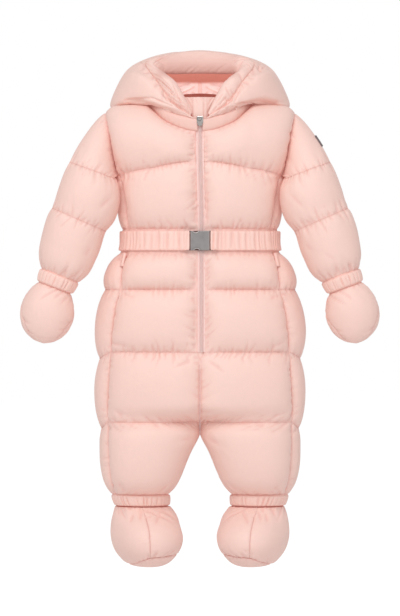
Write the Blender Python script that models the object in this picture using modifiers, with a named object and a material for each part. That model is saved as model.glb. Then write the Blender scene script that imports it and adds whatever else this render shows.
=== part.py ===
"""A quilted baby snowsuit, filled out with nobody in it, in metres with +Z up.

The front faces -Y and the origin is between the shoulders, where a wearer holds it up. Every cloth
piece is a wall with a plain inside, and its quilting is raised in the outside. Pieces are worked out
on the wearer's left half (+X) and mirrored. A piece is a grid of points: columns run from the front
round the outside to the back, and rows run upwards, or outwards along a sleeve, so that
columns x rows points out of the cloth.
"""

import math

import bmesh
import bpy
import numpy as np

WALL = 0.003  # cloth, down and lining at a quilting line
SEAM = 0.0003  # gap between two pieces that are sewn together
PUFF = {"front": 0.0120, "side": 0.0070, "side_upper": 0.0012, "back": 0.0110, "sleeve": 0.0055}
HOOD_PADDING = 0.0040
BRIM_PUFF = 0.0050

WAIST = -0.1840  # the waist seam, under the middle of the belt
BELT_WIDTH = 0.0270
BELT_WAVES = 62
CUFF_WAVES = 18
ANKLE_WAVES = 20
GATHER_DEPTH = 0.0027
ARMPIT = -0.0970
CHEST_QUILTING = -0.0780
ZIP_END = -0.3330
ZIP_HALF_GAP = 0.0052
NECK_HALF_WIDTH = 0.0700
SHOULDER_START = -0.0600
SHOULDER_ARC = 0.0950
CROTCH = (-0.4460, -0.4000)  # the legs part from the hips between these heights
TORSO_SQUARENESS = 2.5
LEG_SQUARENESS = 2.3
SIDE_DROOP = 0.0090
QUILTING = (-0.5255, -0.4270, -0.3330, -0.2490, -0.2000)  # front quilting lines, ankle to belt

BAFFLE_STEPS = (0, 0.10, 0.35, 0.65, 0.90)
CHEST_STEPS = (0, 0.07, 0.22, 0.40, 0.58, 0.76, 0.92)
SIDE_STEPS = (0, 0.20, 0.50, 0.80, 1)
FRONT_STEPS = (0, 0.08, 0.25, 0.42, 0.58, 0.78, 0.93, 1)
NECK_COLUMN = 4  # of FRONT_STEPS: the neckline meets the shoulder seam there
HOOD_COLUMNS, HOOD_ROWS, CROWN_COLUMN = 16, 10, 14
SLEEVE_COLUMNS = 16


def smooth(at, stations, values):
    """Values between stations, on cubics whose slopes come from the stations on both sides."""
    stations = np.asarray(stations, float)
    values = np.asarray(values, float)
    slopes = np.gradient(values, stations, axis=0)
    at = np.clip(at, stations[0], stations[-1])
    left = np.clip(np.searchsorted(stations, at, side="right") - 1, 0, len(stations) - 2)
    span = stations[left + 1] - stations[left]
    t = (at - stations[left]) / span
    extra = (1,) * (values.ndim - 1)
    t, span = t.reshape(t.shape + extra), span.reshape(span.shape + extra)
    ease = t * t * (3 - 2 * t)
    rise = slopes[left] * (t * (1 - t) ** 2) - slopes[left + 1] * (t * t * (1 - t))
    return values[left] * (1 - ease) + values[left + 1] * ease + rise * span


class Sections:
    """A table with named columns, a row for each section, read smoothly between its rows."""

    def __init__(self, names, rows):
        self.names = names.split()
        self.rows = np.array(rows)

    def at(self, name, station):
        return smooth(station, self.rows[:, 0], self.rows[:, self.names.index(name)])


BODY = Sections(
    "height half_width half_depth",
    (
        (-0.4600, 0.1310, 0.0640),
        (-0.4320, 0.1330, 0.0660),
        (-0.3850, 0.1355, 0.0690),
        (-0.3400, 0.1355, 0.0700),
        (-0.2900, 0.1345, 0.0700),
        (-0.2490, 0.1280, 0.0680),
        (-0.2150, 0.1160, 0.0650),
        (-0.1970, 0.1065, 0.0620),
        (-0.1680, 0.1045, 0.0610),
        (-0.1480, 0.1030, 0.0630),
        (-0.1310, 0.1035, 0.0650),
        (-0.1130, 0.1062, 0.0660),
        (-0.1050, 0.1088, 0.0663),
        (-0.0970, 0.1140, 0.0665),
        (-0.0750, 0.1235, 0.0670),
        (-0.0600, 0.1280, 0.0665),
        (-0.0400, 0.1330, 0.0660),
        (0.0350, 0.1370, 0.0640),
    ),
)
LEG = Sections(
    "height inner outer half_depth",
    (
        (-0.5260, 0.0420, 0.1185, 0.0400),
        (-0.5120, 0.0312, 0.1230, 0.0480),
        (-0.4870, 0.0195, 0.1275, 0.0550),
        (-0.4630, 0.0105, 0.1295, 0.0590),
        (-0.4450, 0.0030, 0.1320, 0.0620),
        (-0.4050, 0.0006, 0.1350, 0.0650),
    ),
)
# Where the side-front seam lies, and above the armpit the armhole seam.
SIDE_SEAM = Sections(
    "height half_width",
    (
        (-0.5260, 0.1150),
        (-0.5000, 0.1190),
        (-0.4600, 0.1225),
        (-0.4270, 0.1245),
        (-0.3720, 0.1220),
        (-0.3330, 0.1205),
        (-0.2960, 0.1165),
        (-0.2690, 0.1125),
        (-0.2490, 0.1080),
        (-0.2170, 0.1030),
        (-0.1980, 0.0990),
        (-0.1680, 0.0970),
        (-0.1480, 0.0970),
        (-0.1310, 0.0985),
        (-0.1130, 0.1025),
        (-0.1050, 0.1055),
        (-0.0970, 0.1105),
        (-0.0770, 0.1155),
        (-0.0490, 0.1200),
        (-0.0070, 0.1265),
        (0.0350, 0.1285),
    ),
)
SHOULDER_RIDGE = Sections(
    "half_width height",
    (
        (0, 0.0200),
        (0.0350, 0.0130),
        (0.0700, -0.0030),
        (0.1000, -0.0070),
        (0.1210, -0.0080),
        (0.1300, -0.0120),
        (0.1400, -0.0200),
    ),
)
NECKLINE = Sections(
    "half_width front back",
    (
        (0, -0.0380, 0.0080),
        (0.0200, -0.0345, 0.0075),
        (0.0360, -0.0286, 0.0060),
        (0.0510, -0.0200, 0.0030),
        (0.0610, -0.0100, 0.0000),
        (0.0700, -0.0030, -0.0030),
    ),
)
COLLAR = Sections(
    "round height forward",
    (
        (0, 0.0170, -0.0005),
        (0.20, 0.0160, 0),
        (0.36, 0.0125, 0),
        (0.5, 0.0070, 0),
        (0.75, 0.0060, 0),
        (1, 0.0060, 0),
    ),
)
# A sleeve's cross-sections: the ends of each one at the body and away from it, and its half depth.
SLEEVE = Sections(
    "along inner_x inner_z outer_x outer_z half_depth y",
    (
        (0, 0.1095, -0.1160, 0.1755, -0.0800, 0.0400, -0.0250),
        (0.45, 0.1055, -0.1430, 0.1880, -0.1120, 0.0410, -0.0340),
        (1, 0.1265, -0.1700, 0.1985, -0.1390, 0.0385, -0.0340),
        (1.5, 0.1410, -0.2050, 0.2120, -0.1830, 0.0375, -0.0330),
        (1.8, 0.1520, -0.2290, 0.2150, -0.2060, 0.0340, -0.0330),
        (2, 0.1640, -0.2405, 0.2135, -0.2215, 0.0265, -0.0330),
    ),
)
CUFF_END = {"inner": (0.1725, -0.2545), "outer": (0.2175, -0.2375), "half_depth": 0.0230, "y": -0.0330}
# A mitten from its cuff to its tip, and a bootee and its sole from the ground up.
MITTEN = Sections(
    "along half_width half_depth shift",
    (
        (0, 0.0235, 0.0215, 0),
        (0.006, 0.0275, 0.0255, 0.0005),
        (0.018, 0.0330, 0.0300, 0.0010),
        (0.034, 0.0362, 0.0320, 0.0010),
        (0.050, 0.0340, 0.0290, 0.0005),
        (0.062, 0.0280, 0.0230, -0.0010),
        (0.070, 0.0195, 0.0160, -0.0025),
        (0.0750, 0.0100, 0.0085, -0.0035),
        (0.0775, 0, 0, -0.0040),
    ),
)
MITTEN_AXIS = (0.1300, -0.9915)  # x and z: it hangs nearly straight down from the slanted cuff
BOOTEE = Sections(
    "height half_width half_depth x y",
    (
        (-0.6080, 0.0385, 0.0570, 0.0715, -0.0185),
        (-0.5980, 0.0445, 0.0625, 0.0715, -0.0190),
        (-0.5820, 0.0480, 0.0630, 0.0720, -0.0180),
        (-0.5660, 0.0465, 0.0580, 0.0735, -0.0130),
        (-0.5520, 0.0430, 0.0480, 0.0745, -0.0060),
        (-0.5405, 0.0360, 0.0370, 0.0755, 0.0000),
    ),
)
SOLE = Sections(
    "height half_width half_depth",
    (
        (-0.6220, 0, 0),
        (-0.6220, 0.0230, 0.0400),
        (-0.6190, 0.0300, 0.0480),
        (-0.6130, 0.0357, 0.0540),
        (-0.6083, 0.0385, 0.0570),
    ),
)
ANKLE_BAND = (-0.5400, -0.5258)
# The guard behind the zip, which widens into a curved chin guard between the hood's front edges.
WIND_GUARD = Sections(
    "height half_width",
    (
        (-0.3440, 0.0085),
        (-0.0300, 0.0085),
        (-0.0180, 0.0100),
        (-0.0080, 0.0150),
        (0.0020, 0.0190),
        (0.0120, 0.0215),
    ),
)
GUARD_CURVE = 12.0
POCKET_WELT = {"heights": (-0.2190, -0.2015), "width": 0.0045, "thick": 0.0012, "clear": 0.0030}
SLEEVE_PATCH = {"rows": (2.5, 3.25), "columns": (-1 / 3, 2 / 3), "thick": 0.0010, "clear": 0.0007}
# Lines round the hood's left half, from the zip to the centre back, at the fractions in HOOD_ROUND.
HOOD_ROUND = (0, 0.18, 0.34, 0.50, 0.75, 1)
HOOD_LINES = {
    "low": (
        (0.0098, -0.0632, -0.0198),
        (0.0400, -0.0605, -0.0085),
        (0.0740, -0.0360, 0.0030),
        (0.0990, 0.0040, 0.0005),
        (0.0720, 0.0640, -0.0020),
        (0, 0.0900, -0.0060),
    ),
    "wide": (
        (0.0108, -0.0638, -0.0187),
        (0.0440, -0.0635, -0.0030),
        (0.0880, -0.0360, 0.0110),
        (0.1195, 0.0100, 0.0050),
        (0.0960, 0.0880, 0.0180),
        (0, 0.1270, 0.0260),
    ),
    "high": (
        (0.0117, -0.0636, -0.0176),
        (0.0425, -0.0630, 0.0025),
        (0.0840, -0.0360, 0.0380),
        (0.1010, 0.0140, 0.0440),
        (0.0700, 0.0700, 0.0640),
        (0, 0.0880, 0.0740),
    ),
    "brim_seam": (
        (0.0125, -0.0628, -0.0164),
        (0.0375, -0.0590, 0.0020),
        (0.0570, -0.0460, 0.0300),
        (0.0735, -0.0160, 0.0550),
        (0.0420, 0.0020, 0.0690),
        (0, 0.0070, 0.0740),
    ),
    "brim_edge": (
        (0.0112, -0.0600, -0.0115),
        (0.0205, -0.0560, 0.0090),
        (0.0330, -0.0470, 0.0300),
        (0.0535, -0.0250, 0.0430),
        (0.0300, -0.0080, 0.0460),
        (0, -0.0040, 0.0470),
    ),
}
MATERIALS = {
    "cloth": ((0.93, 0.64, 0.56), 0.55, 0.0),
    "zip_tape": ((0.76, 0.46, 0.44), 0.70, 0.0),
    "zip_metal": ((0.78, 0.78, 0.77), 0.22, 1.0),
    "buckle_metal": ((0.34, 0.33, 0.33), 0.35, 1.0),
    "patch": ((0.19, 0.15, 0.17), 0.60, 0.0),
}


def unit(vectors):
    return vectors / np.maximum(np.linalg.norm(vectors, axis=-1, keepdims=True), 1e-12)


def power(value, exponent):
    return np.sign(value) * np.abs(value) ** exponent


def stack(x, y, z):
    return np.stack(np.broadcast_arrays(x, y, z), axis=-1)


def blend(low, high, share):
    return low + (high - low) * share


def mirrored(points):
    return points * (-1, 1, 1)


def straight(at, stations, values):
    """Values between stations, on straight lines."""
    return np.stack([np.interp(at, stations, column) for column in values.T], axis=1)


def both_sides(points):
    """A grid whose last column is at the middle plane, carried on over the other side."""
    return np.concatenate([points, mirrored(points[:, -2::-1])], axis=1)


def body_surface(turn, height):
    """The cloth at its quilting lines. turn goes from 0 at the front to pi at the back, and above
    SHOULDER_START height runs on over the shoulder, as an arc, to its ridge."""
    turn, height = np.broadcast_arrays(turn, height)
    rise = np.clip((height - SHOULDER_START) / SHOULDER_ARC, 0, 1) * math.pi / 2
    across = power(np.sin(turn), 2 / TORSO_SQUARENESS)
    x = BODY.at("half_width", height) * across
    y = -BODY.at("half_depth", height) * power(np.cos(turn), 2 / TORSO_SQUARENESS) * np.cos(rise)
    ridge = SHOULDER_RIDGE.at("height", np.abs(x))
    z = np.where(rise > 0, SHOULDER_START + (ridge - SHOULDER_START) * np.sin(rise), height)
    torso = stack(x, y, z)
    inner, outer = LEG.at("inner", height), LEG.at("outer", height)
    round_leg = 2 * turn - math.pi / 2
    leg = stack(
        (inner + outer) / 2 + (outer - inner) / 2 * power(np.sin(round_leg), 2 / LEG_SQUARENESS),
        -LEG.at("half_depth", height) * power(np.cos(round_leg), 2 / LEG_SQUARENESS),
        height,
    )
    parted = np.clip((CROTCH[1] - height) / (CROTCH[1] - CROTCH[0]), 0, 1)
    parted = (parted * parted * (3 - 2 * parted))[..., None]
    return torso * (1 - parted) + leg * parted


def body_normals(turn, height, step=1e-4):
    along = body_surface(turn + step, height) - body_surface(turn - step, height)
    up = body_surface(turn, height + step) - body_surface(turn, height - step)
    return unit(np.cross(along, up))


def turn_where(half_width, height):
    """The turn, on the front, at which the body is this far from the middle plane."""
    half_width, height = np.broadcast_arrays(half_width, height)
    turns = np.linspace(0, math.pi / 2, 721)
    found = [
        np.interp(wide, body_surface(turns, level)[:, 0], turns)
        for wide, level in zip(half_width.ravel(), height.ravel())
    ]
    return np.array(found).reshape(height.shape)


def grid_normals(points):
    return unit(np.cross(np.gradient(points, axis=1), np.gradient(points, axis=0)))


def apart(points, lean, sides):
    """Moves a grid's edges half a seam gap inwards, square to the way the cut edge leans."""
    points = points.copy()
    for side in sides:
        edge = {"left": np.s_[:, 0], "right": np.s_[:, -1], "bottom": np.s_[0], "top": np.s_[-1]}[side]
        sign = 1 if side in ("left", "top") else -1
        outwards = unit(np.cross(lean[edge], np.gradient(points[edge], axis=0))) * sign
        points[edge] = points[edge] - outwards * (SEAM / 2)
    return points


def wall_faces(points, rows, columns, closed, rims):
    """Faces of the outside, the inside and the cut edges of a wall that is rows x columns points."""
    order = points @ (0, 0.11, 1) + np.abs(points[:, 0]) * 0.37

    def outside(row, column):
        return row * columns + column % columns

    def inside(row, column):
        return rows * columns + outside(row, column)

    def cut_edge(first, second):
        """Two triangles, split the same way on the piece that is sewn to this one."""
        a, b, c, d = outside(*first), outside(*second), inside(*second), inside(*first)
        return [[a, b, c], [a, c, d]] if order[a] < order[b] else [[a, b, d], [b, c, d]]

    last_row, last = rows - 1, columns - 1
    steps = columns if closed else last
    faces = []
    for row in range(last_row):
        for column in range(steps):
            around = [(row, column), (row, column + 1), (row + 1, column + 1), (row + 1, column)]
            faces.append([outside(*corner) for corner in around])
            faces.append([inside(*corner) for corner in reversed(around)])
    for column in range(steps):
        if "bottom" in rims:
            faces += cut_edge((0, column + 1), (0, column))
        if "top" in rims:
            faces += cut_edge((last_row, column), (last_row, column + 1))
    if not closed:
        for row in range(last_row):
            faces += cut_edge((row, 0), (row + 1, 0))
            faces += cut_edge((row + 1, last), (row, last))
    return faces


def material(name):
    made = bpy.data.materials.get(name)
    if made is None:
        colour, roughness, metallic = MATERIALS[name]
        made = bpy.data.materials.new(name)
        made.use_nodes = True
        shader = made.node_tree.nodes["Principled BSDF"]
        shader.inputs["Base Color"].default_value = (*colour, 1)
        shader.inputs["Roughness"].default_value = roughness
        shader.inputs["Metallic"].default_value = metallic
    return made


def link(name, mesh, material_name):
    made = bpy.data.objects.new(name, mesh)
    made.data.materials.append(material(material_name))
    bpy.data.collections["baby_snowsuit"].objects.link(made)
    return made


def wall(name, outside, inside, closed=False, rims=("bottom", "top"), material_name="cloth"):
    """One cloth piece between two grids. Points that coincide, as at a closed tip, become one."""
    rows, columns = outside.shape[:2]
    mesh = bpy.data.meshes.new(name)
    points = np.concatenate([outside.reshape(-1, 3), inside.reshape(-1, 3)])
    mesh.from_pydata(points.tolist(), [], wall_faces(points, rows, columns, closed, rims))
    shaped = bmesh.new()
    shaped.from_mesh(mesh)
    bmesh.ops.remove_doubles(shaped, verts=shaped.verts, dist=1e-6)
    bmesh.ops.recalc_face_normals(shaped, faces=shaped.faces)
    shaped.to_mesh(mesh)
    shaped.free()
    mesh.shade_smooth()
    mesh.set_sharp_from_angle(angle=math.radians(50))
    return link(name, mesh, material_name)


def pair(name, outside, inside, **options):
    """A piece on the wearer's left and its mirror image on the right."""
    wall(f"{name}_left", outside, inside, **options)
    wall(f"{name}_right", mirrored(outside)[:, ::-1], mirrored(inside)[:, ::-1], **options)


def pillow(across, up, ends=2.6):
    """1 over most of a baffle and 0 at its seams; across and up go from 0 to 1 between the seams."""
    return (1 - np.abs(2 * across - 1) ** 5) * (1 - np.abs(2 * up - 1) ** ends)


def kept_to_side(points):
    """Keeps a half clear of the middle plane, where it meets its mirror image."""
    return np.concatenate([np.maximum(points[..., :1], SEAM / 2), points[..., 1:]], axis=-1)


def front_turns(heights, steps):
    """Turns of the front panel's columns. The one at the neck's corner keeps its turn."""
    neck = math.asin((NECK_HALF_WIDTH / BODY.at("half_width", 0.035)) ** (TORSO_SQUARENESS / 2))
    gap = np.where(heights[:, :1] > ZIP_END - 0.001, ZIP_HALF_GAP, SEAM / 2)
    first = turn_where(gap, heights[:, :1])
    last = turn_where(SIDE_SEAM.at("half_width", heights), heights)
    corner = steps[NECK_COLUMN]
    steps = np.asarray(steps)[None, :]
    towards_neck = blend(first, neck, steps / corner)
    beyond_neck = blend(neck, last, (steps - corner) / (1 - corner))
    return np.where(steps <= corner, towards_neck, beyond_neck)


def neck_heights(steps, side):
    """The body_surface height at which each column reaches the neckline, or the ridge beyond it."""
    top = SHOULDER_START + SHOULDER_ARC
    heights = np.full((1, len(steps)), top)
    for _ in range(30):
        turns = front_turns(heights, steps)
        x = body_surface(turns, heights)[..., 0]
        ridge = SHOULDER_RIDGE.at("height", x) - SHOULDER_START
        sine = (NECKLINE.at(side, x) - SHOULDER_START) / ridge
        cut = SHOULDER_START + SHOULDER_ARC * np.arcsin(np.clip(sine, 0, 1)) / (math.pi / 2)
        heights = np.where(np.arange(len(steps)) < NECK_COLUMN, cut, top)
    return heights[0]


def rows_between(low, high, steps, puffed):
    """Heights of a baffle's rows, its share of the way up at each, and how far it is puffed."""
    steps = np.asarray(steps)[:, None]
    return blend(low[None, :], high[None, :], steps), np.broadcast_to(steps, (len(steps), len(low))), puffed


def stacked(baffles, last_heights):
    """A panel's rows from those of its baffles, closed by its last seam."""
    heights = np.concatenate([rows for rows, _, _ in baffles] + [last_heights[None, :]])
    up = np.concatenate([share for _, share, _ in baffles] + [np.ones_like(last_heights)[None, :]])
    puffed = np.concatenate([np.full(len(rows), high) for rows, _, high in baffles] + [[0.0]])
    return heights, up, puffed[:, None]


def upper_rows(steps, side):
    steps = np.asarray(steps)
    flat = np.ones(len(steps))
    belt_top = flat * (WAIST + 0.0160)
    chest = CHEST_QUILTING + (ARMPIT - CHEST_QUILTING) * steps**1.5
    neck = neck_heights(steps, side)
    puffed = PUFF["front"] if side == "front" else PUFF["back"]
    baffles = [
        rows_between(flat * WAIST, belt_top, (0,), 0),
        rows_between(belt_top, chest, BAFFLE_STEPS, puffed),
        rows_between(chest, neck, CHEST_STEPS, puffed),
    ]
    return stacked(baffles, neck)


def lower_rows(count, puffed, droop=0.0):
    flat = np.ones(count)
    sag = droop * np.sin(np.pi * np.linspace(0, 1, count))
    seams = [QUILTING[0] * flat, QUILTING[1] - sag, QUILTING[2] - sag, QUILTING[3] * flat, QUILTING[4] * flat]
    baffles = [rows_between(low, high, BAFFLE_STEPS, puffed) for low, high in zip(seams, seams[1:])]
    baffles.append(rows_between(seams[-1], flat * WAIST, (0,), 0))
    return stacked(baffles, flat * WAIST)


def body_panel(turns, heights, up, puffed, across):
    """Outside and inside of a panel, and the way its edges lean."""
    points = body_surface(turns, heights)
    lean = body_normals(turns, heights)
    return points, lean, puffed * pillow(np.asarray(across)[None, :], up)


def finished(points, lean, puffed, sides):
    points = apart(points, lean, sides)
    return kept_to_side(points + lean * puffed[..., None]), kept_to_side(points - lean * WALL)


def level(lean):
    """The same directions laid level, for edges that meet a level band."""
    return unit(lean * (1, 1, 0))


def seam_lean(first, second):
    """The way the cut edges of two walls lean where they are sewn together."""
    return unit(first + second)


def upper_body():
    """The panels above the waist. Returns the armhole's edge with its lean, and the neck's."""
    heights, up, puffed = upper_rows(FRONT_STEPS, "front")
    turns = front_turns(heights, FRONT_STEPS)
    front = list(body_panel(turns, heights, up, puffed, FRONT_STEPS))
    back_heights, back_up, back_puffed = upper_rows(FRONT_STEPS, "back")
    back_turns = math.pi - front_turns(back_heights, FRONT_STEPS)
    towards_middle = np.array(FRONT_STEPS)
    towards_middle[0] = 0.12  # the back has no seam down its middle, so it stays puffed there
    back_turns[:, 0] = math.pi
    back = list(body_panel(back_turns, back_heights, back_up, back_puffed, towards_middle))
    back = [grid[:, ::-1] for grid in back]
    armpit_row = 1 + len(BAFFLE_STEPS)
    side_heights = np.repeat(heights[: armpit_row + 1, -1:], len(SIDE_STEPS), axis=1)
    side_up = np.repeat(up[: armpit_row + 1, -1:], len(SIDE_STEPS), axis=1)
    side_up[-1] = 1
    side_puffed = np.where(puffed[: armpit_row + 1] > 0, PUFF["side_upper"], 0)
    first = turns[: armpit_row + 1, -1:]
    side_turns = blend(first, math.pi - first, np.asarray(SIDE_STEPS)[None, :])
    side = list(body_panel(side_turns, side_heights, side_up, side_puffed, SIDE_STEPS))
    return front, side, back, armpit_row


def armhole_loop(front, side, back, armpit_row):
    """The armhole from the shoulder down the front, under the arm and up the back, and its lean."""
    loop, lean = [
        np.concatenate(
            [
                front[part][armpit_row + 1 :, -1][::-1],
                side[part][-1],
                back[part][armpit_row + 1 :, 0],
            ]
        )
        for part in (0, 1)
    ]
    return loop, lean


def along_loop(loop, shares):
    """Points at these shares of the way along a line of points, on its straight pieces."""
    steps = np.linalg.norm(np.diff(loop[:, :3], axis=0), axis=1)
    length = np.concatenate([[0], np.cumsum(steps)])
    return np.stack([np.interp(shares * length[-1], length, column) for column in loop.T], axis=1)


def ellipse(inner, outer, half_depth, y, turns):
    """A sleeve's cross-section: turns go from its outer end round the front."""
    inner, outer = (np.array([x, y, z]) for x, z in (inner, outer))
    middle, half = (inner + outer) / 2, (outer - inner) / 2
    depth = np.array([0, -half_depth, 0])
    return middle + np.cos(turns)[:, None] * half + np.sin(turns)[:, None] * depth, unit(half)


def sleeve_section(along, turns):
    column = {name: float(SLEEVE.at(name, along)) for name in SLEEVE.names[1:]}
    ends = (column["inner_x"], column["inner_z"]), (column["outer_x"], column["outer_z"])
    return ellipse(*ends, column["half_depth"], column["y"], turns)


def radial(ring, middle):
    """Directions out of a ring, in its own plane."""
    along = unit(np.roll(ring, -1, axis=0) - np.roll(ring, 1, axis=0))
    axis = unit(np.cross(ring[1] - middle, ring[0] - middle))
    return unit(np.cross(along, axis)) * -1


def tube(rings):
    """Grid and in-plane directions of a tube from its rings."""
    grid = np.array(rings)
    leans = np.array([radial(ring, ring.mean(axis=0)) for ring in rings])
    outwards = np.sign(np.sum((grid - grid.mean(axis=1, keepdims=True)) * leans, axis=(1, 2)))
    return grid, leans * outwards[:, None, None]


def closed_pair(name, outside, inside, **options):
    wall(f"{name}_left", outside, inside, closed=True, **options)
    wall(f"{name}_right", mirrored(outside)[:, ::-1], mirrored(inside)[:, ::-1], closed=True, **options)


def sleeves(loop, loop_lean):
    """Sleeves, cuffs and mittens. Returns the lean of the armhole's edges and the sleeve's outside."""
    turns = np.arange(SLEEVE_COLUMNS) / SLEEVE_COLUMNS * 2 * math.pi
    closed_loop = np.concatenate([loop, loop[:1]])
    lean_loop = np.concatenate([loop_lean, loop_lean[:1]])
    both = along_loop(np.hstack([closed_loop, lean_loop]), np.arange(SLEEVE_COLUMNS) / SLEEVE_COLUMNS)
    top, top_lean = both[:, :3], unit(both[:, 3:])
    first_ring, _ = sleeve_section(0, turns)
    cap = [blend(top, first_ring, share) for share in BAFFLE_STEPS]
    rest = [sleeve_section(base + share, turns)[0] for base in (0, 1) for share in BAFFLE_STEPS]
    last = sleeve_section(2, turns)[0]
    grid, lean = tube(cap + rest + [last])
    wrapped = np.concatenate([grid[:, -1:], grid, grid[:, :1]], axis=1)
    true_normals = grid_normals(wrapped)[:, 1:-1]
    cap_rows = len(BAFFLE_STEPS)
    for row in range(cap_rows):
        lean[row] = unit(blend(true_normals[row], lean[cap_rows], row / cap_rows))
    own_start = lean[0].copy()
    lean[0] = seam_lean(own_start, top_lean)
    up = np.concatenate([BAFFLE_STEPS, BAFFLE_STEPS, BAFFLE_STEPS, [1]])[:, None]
    reach = np.linalg.norm(first_ring - top, axis=1)
    puffed = PUFF["sleeve"] * (1 - np.abs(2 * up - 1) ** 2.6) * np.ones(SLEEVE_COLUMNS)
    puffed[:cap_rows] *= np.clip((reach - 0.018) / 0.060, 0, 1)
    puffed[cap_rows:] *= 0.65 + 0.35 * np.cos(turns)
    depth = np.full(grid.shape[:2], WALL)
    depth[1:cap_rows] = blend(WALL * 0.5, WALL, np.clip(reach / 0.030, 0, 1))
    outside = grid + lean * puffed[..., None]
    inside = grid - lean * depth[..., None]
    for row, towards, gap in ((0, 1, SEAM), (-1, -2, SEAM / 2)):
        way = ring_gap(outside, inside, row, towards, gap)
        outside[row] += way
        inside[row] += way
    closed_pair("sleeve", outside, inside)
    cuff_and_mitten(turns)
    return own_start, outside


def ring_gap(outside, inside, row, towards, gap=SEAM / 2):
    """The way from a ring's cut edge into its wall, as long as the gap."""
    lean = unit(outside[row] - inside[row])
    around = unit(np.roll(outside[row], -1, axis=0) - np.roll(outside[row], 1, axis=0))
    across = unit(np.cross(lean, around))
    inwards = np.sign(np.sum((outside[towards] - outside[row]) * across))
    return across * inwards * gap


def gathered(rings, waves):
    """A gathered band: waves of cloth, deepest half way between its edges."""
    grid, lean = tube(rings)
    columns = grid.shape[1]
    wave = 0.5 - 0.5 * np.cos(np.arange(columns) * waves / columns * 2 * math.pi)
    swell = np.array([0.6, 1.0, 0.6])[:, None] * GATHER_DEPTH
    outside = grid + lean * (swell * (0.25 + wave))[..., None]
    inside = grid - lean * WALL * 0.8
    for row, towards in ((0, 1), (-1, -2)):
        way = ring_gap(outside, inside, row, towards)
        outside[row] += way
        inside[row] += way
    return outside, inside


def cuff_and_mitten(turns):
    fine = np.arange(2 * CUFF_WAVES) / (2 * CUFF_WAVES) * 2 * math.pi
    start = sleeve_section(2, fine)[0]
    end = ellipse(CUFF_END["inner"], CUFF_END["outer"], CUFF_END["half_depth"], CUFF_END["y"], fine)[0]
    closed_pair("cuff", *gathered([start, (start + end) / 2, end], CUFF_WAVES))
    inner, outer = np.array(CUFF_END["inner"]), np.array(CUFF_END["outer"])
    middle, half = (inner + outer) / 2, unit(outer - inner)
    down = unit(np.array([half[1], -half[0]]))
    tip_way = np.array(MITTEN_AXIS)
    steps = np.array([0, 0.006, 0.018, 0.034, 0.050, 0.062, 0.070, 0.075, 0.0775])
    bent = smooth(steps, (0, 0.02, 0.05, 0.0775), (0.0, 0.35, 1.0, 1.0))[:, None]
    ways = unit(blend(down, tip_way, bent))
    middles = middle + np.concatenate([[[0, 0]], np.cumsum(ways[1:] * np.diff(steps)[:, None], axis=0)])
    for name, low, high, sign in (("mitten_back", 0, math.pi, -1), ("mitten_palm", math.pi, 2 * math.pi, 1)):
        round_half = np.linspace(low, high, 9)
        grid = np.zeros((len(steps), 9, 3))
        for row, step in enumerate(steps):
            wide, deep = float(MITTEN.at("half_width", step)), float(MITTEN.at("half_depth", step))
            square = np.array([-ways[row][1], ways[row][0]])
            seam_y = CUFF_END["y"] + float(MITTEN.at("shift", step))
            plan = middles[row] + np.cos(round_half)[:, None] * square * wide
            y = seam_y - np.sin(round_half) * deep
            y = np.minimum(y, seam_y - SEAM / 2) if sign < 0 else np.maximum(y, seam_y + SEAM / 2)
            grid[row] = stack(plan[:, 0], y, plan[:, 1])
        inside = thinned_bag(grid, steps, middles, ways, sign)
        grid, inside = grid.copy(), inside.copy()
        inset = np.array([ways[0][0], 0, ways[0][1]]) * SEAM / 2
        grid[0] += inset
        inside[0] += inset
        pair(name, grid, inside, rims=("bottom",))


def thinned_bag(grid, steps, middles, ways, sign):
    """The inside of a mitten half: each ring drawn in by the wall, and the tip drawn back by it."""
    inside = grid.copy()
    last = steps[-1]
    for row, step in enumerate(steps):
        wide = max(float(MITTEN.at("half_width", step)), 1e-9)
        share = max(0.0, 1 - WALL / wide)
        centre = np.array([middles[row][0], 0, middles[row][1]])
        for axis in (0, 2):
            inside[row, :, axis] = centre[axis] + (grid[row, :, axis] - centre[axis]) * share
        seam_y = CUFF_END["y"] + float(MITTEN.at("shift", step)) + sign * SEAM / 2
        inside[row, :, 1] = seam_y + (grid[row, :, 1] - seam_y) * share
        back = WALL * np.clip((step - last + 0.012) / 0.012, 0, 1)
        inside[row] -= np.array([ways[row][0], 0, ways[row][1]]) * back
    return inside


def upright_ring(height, half_width, half_depth, x, y, turns, squareness=2.0):
    return stack(
        x + half_width * power(np.sin(turns), 2 / squareness),
        y - half_depth * power(np.cos(turns), 2 / squareness),
        height,
    )


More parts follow.
